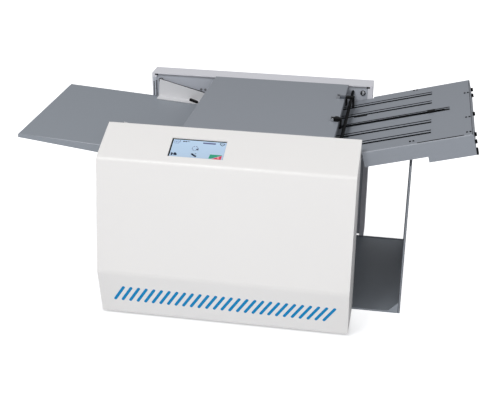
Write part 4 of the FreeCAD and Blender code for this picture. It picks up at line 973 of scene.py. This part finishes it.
@dataclass
class RearTrim:
    """Small trim at the open side of the rear cover and along its side frame: painted shade in the
    corner gaps, a painted highlight on the frame's hem, a grey liner on the return with painted
    shade lines beside it and a painted shadow line along the rear guide's top.

    A box gives left, right, low and high edges in millimetres.
    """

    opening: float = 323.0
    frame_face: float = 326.0
    guide_face: float = 320.3
    gap_shade_boxes: tuple[Box, ...] = ((374.8, 380.2, 283.0, 285.6), (5.2, 11.2, 283.4, 285.6))
    hem_shine_boxes: tuple[Box, ...] = ((12.0, 377.0, 282.0, 283.3),)
    liner_boxes: tuple[Box, ...] = ((2.2, 8.0, 240.0, 279.6),)
    return_shade_boxes: tuple[Box, ...] = ((2.2, 4.0, 240.0, 272.0), (6.6, 8.0, 240.0, 274.0))
    trim_front: float = 0.35
    trim_thick: float = 0.3
    hem_thick: float = 0.4
    return_shade_front: float = 0.5
    return_shade_thick: float = 0.12
    guide_tilt: float = 4.0
    guide_height: float = 246.3
    guide_thick: float = 0.9
    guide_shadow_line: tuple[Pair, ...] = ((12.5, 31.6), (93.0, 16.7), (93.0, 18.5), (12.5, 32.5))

    def build(self) -> None:
        """Make the gaps' painted shade, the painted highlight on the frame's hem, the return's
        liner with its painted shade lines and the painted shadow along the guide's top.
        """
        trim = self.opening - self.trim_front, self.trim_thick
        hem = self.frame_face - self.hem_thick, self.hem_thick
        return_shade = self.opening - self.return_shade_front, self.return_shade_thick
        for name, boxes, (near, thick), finish, slot in (
            # Painted shade in the openings at the cover's corners.
            ("cover_corner_gap_shade", self.gap_shade_boxes, trim, Extra.SHADOW, "rear_paint"),
            # A painted highlight on the lit hem of the frame.
            ("frame_hem_shine", self.hem_shine_boxes, hem, Extra.HEM_SHINE, "frame_steel"),
            ("return_liner", self.liner_boxes, trim, Slot.FRAME, "frame_steel"),
            # Two lines of painted shade beside the liner.
            ("return_shade_lines", self.return_shade_boxes, return_shade, Extra.SHADE_LINE, "frame_steel"),
        ):
            maker = MeshMaker(name)
            for box in boxes:
                maker.upright(rectangle(*box), near, thick)
            maker.finish("chassis", finish, slot)
        self._guide_shadow_line()

    def _guide_shadow_line(self) -> None:
        """Make the painted shadow line along the top of the rear side guide."""
        tilt = math.radians(self.guide_tilt)
        down = (math.cos(tilt), 0.0, -math.sin(tilt))
        out = (math.sin(tilt), 0.0, math.cos(tilt))
        face = Slope((0.0, self.guide_face, self.guide_height), down, out)
        maker = MeshMaker("guide_shadow_line")
        outline = [face.point(first, second) for first, second in self.guide_shadow_line]
        maker.prism(outline, Vector((0.0, self.guide_thick * MILLI, 0.0)))
        maker.finish("guide_rear", Extra.SHADE_LINE, "guide_white")


@dataclass
class FrontCatch:
    """The front catch with its thick black grip, in place of the plain bar.

    Outlines run across in machine millimetres and up from the catch's underside.
    """

    near: float = 140.5
    width: float = 7.0
    overhang: float = 1.6
    low: float = 288.4
    hook: tuple[Pair, ...] = (
        (331.9, 0.0), (345.3, 0.0), (345.3, -12.0), (348.3, -12.0), (348.3, 3.0), (347.5, 3.7),
        (344.5, 4.6), (338.0, 4.9), (335.2, 4.4), (334.4, 3.3), (332.2, 3.0), (331.9, 2.6),
    )
    block: tuple[Pair, ...] = (
        (337.4, 0.0), (343.5, 0.0), (343.5, 4.4), (342.6, 5.2), (338.4, 5.2), (337.4, 4.2),
    )

    def build(self) -> None:
        """Make the catch and let it stand for the CAD bar."""
        maker = MeshMaker("front_catch_grip")
        for outline, extra in ((self.hook, 0.0), (self.block, self.overhang)):
            raised = [(across, self.low + up) for across, up in outline]
            maker.upright(raised, self.near - extra, self.width + 2 * extra)
        grip = maker.finish("catch_front", Slot.BLACK, "black_plastic")
        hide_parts("catch_front")


@dataclass
class FoldPlateTrim:
    """Painted light on the slotted fold plate: a painted highlight along the bend, painted shade in
    the slits and a painted shade line at the plate's end.
    """

    corner: Point = (385.0, 73.0, 266.6)
    tilt: float = 14.6
    reach: float = 163.5
    width: float = 249.0
    middle: float = 130.9
    pitch: float = 44.4
    slot: float = 14.5
    front_slit: float = 5.0
    thumb_slit: float = 9.8
    back_slit: float = 2.5
    start: float = 78.0
    slot_end: float = 102.0
    middle_end: float = 130.0
    bumper: float = 8.0
    strip_thick: float = 0.12
    # Painted shade in the slits: thickness, laps, and the wall and floor pieces in the thumb slit.
    shade_lining_thick: float = 0.1
    back_laps: Pair = (0.5, 0.4)
    front_lap: float = 0.9
    wall: float = 0.15
    wall_depth: float = 1.5
    wall_height: float = 1.48
    floor_lap: float = 3.0
    floor_depth: float = 7.0
    floor_thick: float = 0.15
    bend_highlight_ends: Pair = (0.8, 3.0)
    bend_highlight_edges: Pair = (0.6, 1.9)
    slit_shadow_box: Box = (82.0, 150.0, 2.7, 5.6)
    end_shade: Pair = (1.9, 1.0)
    end_margin: float = 1.2

    def face(self) -> Slope:
        """Give the plate's top face, with its near corner by the housing as the origin.

        Returns:
            The face.
        """
        angle = math.radians(self.tilt)
        return Slope(self.corner, (math.cos(angle), 0.0, math.sin(angle)), (0.0, 1.0, 0.0))

    def _strip(self, name: str, finish: Extra, box: Box) -> None:
        """Add a thin strip on the plate.

        Args:
            name: Its name.
            finish: Its finish.
            box: Its start and end along the plate, then its near and far edges.
        """
        maker = MeshMaker(name)
        self.face().patch(maker, rectangle(*box), SKIN_GAP, self.strip_thick)
        maker.finish("fold_plate", finish, "sheet_grey")

    def _shade_band(self, maker: MeshMaker, end: float, near: float, far: float, layer: Pair) -> None:
        """Add a band of painted shade that starts at the slots' lower end.

        Args:
            maker: Where it goes.
            end: Where it ends along the plate.
            near: Its near edge.
            far: Its far edge.
            layer: How far its underside stands out of the face, and its thickness.
        """
        self.face().patch(maker, rectangle(-self.start, end, near, far), *layer)

    def _slits(self) -> None:
        """Lay painted shade in the five slots' slits, so that they look as dark as the throat below
        them.
        """
        maker = MeshMaker("slit_shade_linings")
        skin = (SKIN_GAP, self.shade_lining_thick)
        for number in (-2, -1, 0, 1, 2):
            near = self.middle + number * self.pitch - self.slot / 2
            end = self.slot_end if number else self.middle_end
            far = near + self.slot
            back = far - self.back_slit - self.back_laps[0]
            self._shade_band(maker, end, back, far + self.back_laps[1], skin)
            if number:
                stop = end - (self.bumper if number == -1 else 0.0)
                self._shade_band(maker, stop, near, near + self.front_slit + self.front_lap, skin)
                continue
            edge, lap = near + self.thumb_slit, self.floor_lap
            wall = (-self.wall_depth, self.wall_height)
            self._shade_band(maker, end - self.bumper, edge - self.wall, edge, wall)
            floor = (-self.floor_depth, self.floor_thick)
            self._shade_band(maker, end, near - lap, edge + lap, floor)
        maker.finish("fold_plate", Extra.SHADOW, "sheet_grey")

    def build(self) -> None:
        """Make the painted highlight and shade strips and the painted shade in the slits."""
        from_end, to_end = (self.reach - inset for inset in self.end_shade)
        end_shade_box = (from_end, to_end, self.end_margin, self.width - self.end_margin)
        bend_highlight_box = (self.bend_highlight_ends[0], self.reach - self.bend_highlight_ends[1], *self.bend_highlight_edges)
        # Painted highlight along the bend, painted shadow over the front slit, painted shade at the
        # end.
        self._strip("plate_bend_highlight", Extra.BEND_HIGHLIGHT, bend_highlight_box)
        self._strip("plate_slit_shadow", Extra.SHADOW, self.slit_shadow_box)
        self._strip("plate_end_shade", Extra.SHADE_LINE, end_shade_box)
        self._slits()


@dataclass
class TrayTrim:
    """A painted highlight along the feed tray's bend and painted shade lines at the output tray's
    end wall's edges.
    """

    corner: Point = (0.0, 73.0, 246.3)
    tilt: float = 4.0
    # Outline of the painted highlight on the bend.
    bend: tuple[Pair, ...] = ((-122.0, 0.9), (-8.0, 0.5), (-8.0, 2.1), (-122.0, 1.3))
    thick: float = 0.1
    wall_face: float = 71.5
    wall_ends: Pair = (456.5, 460.0)
    wall_foot: float = 1.0
    wall_top: float = 250.6
    wall_front: float = 0.12
    line: float = 1.0

    def build(self) -> None:
        """Make the painted highlight, which widens towards the housing, and the painted shade lines
        at the wall's edges.
        """
        angle = math.radians(self.tilt)
        face = Slope(self.corner, (math.cos(angle), 0.0, -math.sin(angle)), (0.0, 1.0, 0.0))
        maker = MeshMaker("tray_bend_highlight")
        face.patch(maker, list(self.bend), SKIN_GAP, self.thick)
        maker.finish("chassis", Extra.BEND_HIGHLIGHT, "tray_grey")
        # Lines of painted shade at the end wall's two upright edges.
        edges = MeshMaker("end_wall_shade_lines")
        near = self.wall_face - self.wall_front
        for left in (self.wall_ends[0], self.wall_ends[1] - self.line):
            corners = rectangle(left, left + self.line, self.wall_foot, self.wall_top)
            edges.upright(corners, near, self.thick)
        edges.finish("chassis", Extra.SHADE_LINE, "tray_grey")


def dress_nodes(frame: dict) -> int:
    """Give every CAD node the finish of its slot.


    Returns:
        How many nodes were dressed.
    """
    slots = {finish.value.name: finish for finish in Slot}
    for part in frame["record"]["subparts"]:
        WARDROBE.dress(frame["nodes"][part["node"]], slots[part["material_slot"]])
    return len(frame["record"]["subparts"])


@dataclass(frozen=True)
class Lamp:
    """A soft square lamp: its place, the height it aims at over the origin, side and watts."""

    name: str
    place: Point
    aim_height: float
    size: float
    power: float

    def hang(self) -> None:
        """Add the lamp to the scene."""
        data = bpy.data.lights.new(self.name, "AREA")
        data.shape = "SQUARE"
        data.size = self.size
        data.energy = self.power
        lamp = bpy.data.objects.new(self.name, data)
        lamp.location = Vector(self.place)
        aim = Vector((0.0, 0.0, self.aim_height)) - Vector(self.place)
        lamp.rotation_euler = aim.to_track_quat("-Z", "Y").to_euler()
        bpy.context.scene.collection.objects.link(lamp)


@dataclass
class Studio:
    """The pale floor, the soft lamps, the white world and the camera.

    The camera is fitted to the photograph, which is frame_px pixels wide. The floor has the two
    glow_strength values at the two glow_span distances, in metres, from the line Y = dim_line.
    """

    focal_px: float = 996.4
    frame_px: float = 500.0
    sensor_mm: float = 36.0
    clip: Pair = (0.05, 20.0)
    yaw: float = 9.69
    pitch: float = 25.06
    roll: float = -0.58
    position: Point = (452.8, -1297.3, 825.2)
    floor_side: float = 6.0
    floor_colour: Colour = (232, 233, 235)
    floor_roughness: float = 0.9
    floor_specular: float = 0.1
    dim_line: float = -0.2
    glow_span: Pair = (0.03, 0.13)
    glow_strength: Pair = (0.46, 0.85)
    world_colour: tuple[float, ...] = (0.97, 0.98, 1.0, 1.0)
    world_strength: float = 0.38
    white: tuple[float, ...] = (1.0, 1.0, 1.0, 1.0)
    lamps: tuple[Lamp, ...] = (
        Lamp("key", (-0.62, -1.5, 2.45), 0.15, 0.7, 25.0),
        Lamp("front", (0.3, -2.4, 1.1), 0.2, 1.8, 15.5),
        Lamp("fill", (1.8, -1.3, 1.2), 0.15, 1.6, 2.0),
        Lamp("top", (0.1, 0.1, 2.5), 0.2, 1.4, 4.5),
    )

    def floor(self) -> None:
        """Make the floor, which looks white to the camera and keeps the shadow."""
        data = bpy.data.meshes.new("floor")
        half = self.floor_side / 2
        corners = [(x, y, 0.0) for x, y in rectangle(-half, half, -half, half)]
        data.from_pydata(corners, [], [(0, 1, 2, 3)])
        piece = bpy.data.objects.new("floor", data)
        bpy.context.scene.collection.objects.link(piece)
        material, tree, shader = add_material("floor_paper", {
            "Base Color": rgba(self.floor_colour),
            "Roughness": self.floor_roughness,
            "Specular IOR Level": self.floor_specular,
        })
        split = add_node(tree, "SeparateXYZ")
        place = add_node(tree, "NewGeometry").outputs["Position"]
        tree.links.new(place, split.inputs[0])
        shift = add_math(tree, "ADD", split.outputs["Y"], -self.dim_line)
        spread = add_node(tree, "MapRange", {
            "From Min": self.glow_span[0],
            "From Max": self.glow_span[1],
            "To Min": self.glow_strength[0],
            "To Max": self.glow_strength[1],
        })
        tree.links.new(add_math(tree, "ABSOLUTE", shift), spread.inputs["Value"])
        seen = add_node(tree, "LightPath").outputs["Is Camera Ray"]
        glow = add_node(tree, "Emission", {"Color": self.white})
        strength = add_math(tree, "MULTIPLY", seen, spread.outputs["Result"])
        tree.links.new(strength, glow.inputs["Strength"])
        both = add_node(tree, "AddShader")
        tree.links.new(shader.outputs["BSDF"], both.inputs[0])
        tree.links.new(glow.outputs["Emission"], both.inputs[1])
        surface = tree.nodes["Material Output"].inputs["Surface"]
        tree.links.new(both.outputs["Shader"], surface)
        data.materials.append(material)

    def world(self) -> None:
        """Make the pale world, white where the camera sees it or looks through plastic."""
        world = bpy.data.worlds.new("studio")
        bpy.context.scene.world = world
        world.use_nodes = True
        tree = world.node_tree
        tree.nodes.clear()
        output = add_node(tree, "OutputWorld")
        pale = {"Color": self.world_colour, "Strength": self.world_strength}
        soft = add_node(tree, "Background", pale)
        white = add_node(tree, "Background", {"Color": self.white, "Strength": 1.0})
        rays = add_node(tree, "LightPath").outputs
        seen = add_math(tree, "MAXIMUM", rays["Is Camera Ray"], rays["Is Transmission Ray"])
        mix = add_node(tree, "MixShader")
        tree.links.new(seen, mix.inputs["Fac"])
        tree.links.new(soft.outputs["Background"], mix.inputs[1])
        tree.links.new(white.outputs["Background"], mix.inputs[2])
        tree.links.new(mix.outputs["Shader"], output.inputs["Surface"])

    def camera(self) -> None:
        """Set the camera at the photograph's place."""
        yaw, pitch, roll = (math.radians(angle) for angle in (self.yaw, self.pitch, self.roll))
        level = math.cos(pitch)
        forward = Vector((-math.sin(yaw) * level, math.cos(yaw) * level, -math.sin(pitch)))
        right = Vector((math.cos(yaw), math.sin(yaw), 0.0))
        down = forward.cross(right)
        turned_right = right * math.cos(roll) + down * math.sin(roll)
        turned_down = right * -math.sin(roll) + down * math.cos(roll)
        data = bpy.data.cameras.new("camera")
        data.sensor_width = self.sensor_mm
        data.sensor_fit = "HORIZONTAL"
        data.lens = self.focal_px / self.frame_px * self.sensor_mm
        data.clip_start, data.clip_end = self.clip
        camera = bpy.data.objects.new("camera", data)
        turn = Matrix((turned_right, -turned_down, -forward)).transposed().to_4x4()
        camera.matrix_world = Matrix.Translation(at(*self.position)) @ turn
        bpy.context.scene.collection.objects.link(camera)
        bpy.context.scene.camera = camera

    def build(self) -> None:
        """Set up the whole studio."""
        self.floor()
        self.world()
        for lamp in self.lamps:
            lamp.hang()
        self.camera()
        bpy.context.scene.view_settings.view_transform = "Standard"


def main() -> None:
    """Load the frame, dress it, add the pieces and set up the studio."""
    logging.basicConfig(level=logging.INFO, format="%(name)s: %(message)s")
    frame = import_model()
    LOG.info("dressed %d nodes", dress_nodes(frame))
    for step in (
        FrontStripes(), DisplayPage(), FoldPlateTrim(), TrayTrim(), RearTrim(), ScrewHeads(),
        FrontCatch(), Studio(),
    ):
        step.build()
        LOG.info("built %s", type(step).__name__)


if __name__ == "__main__":
    main()
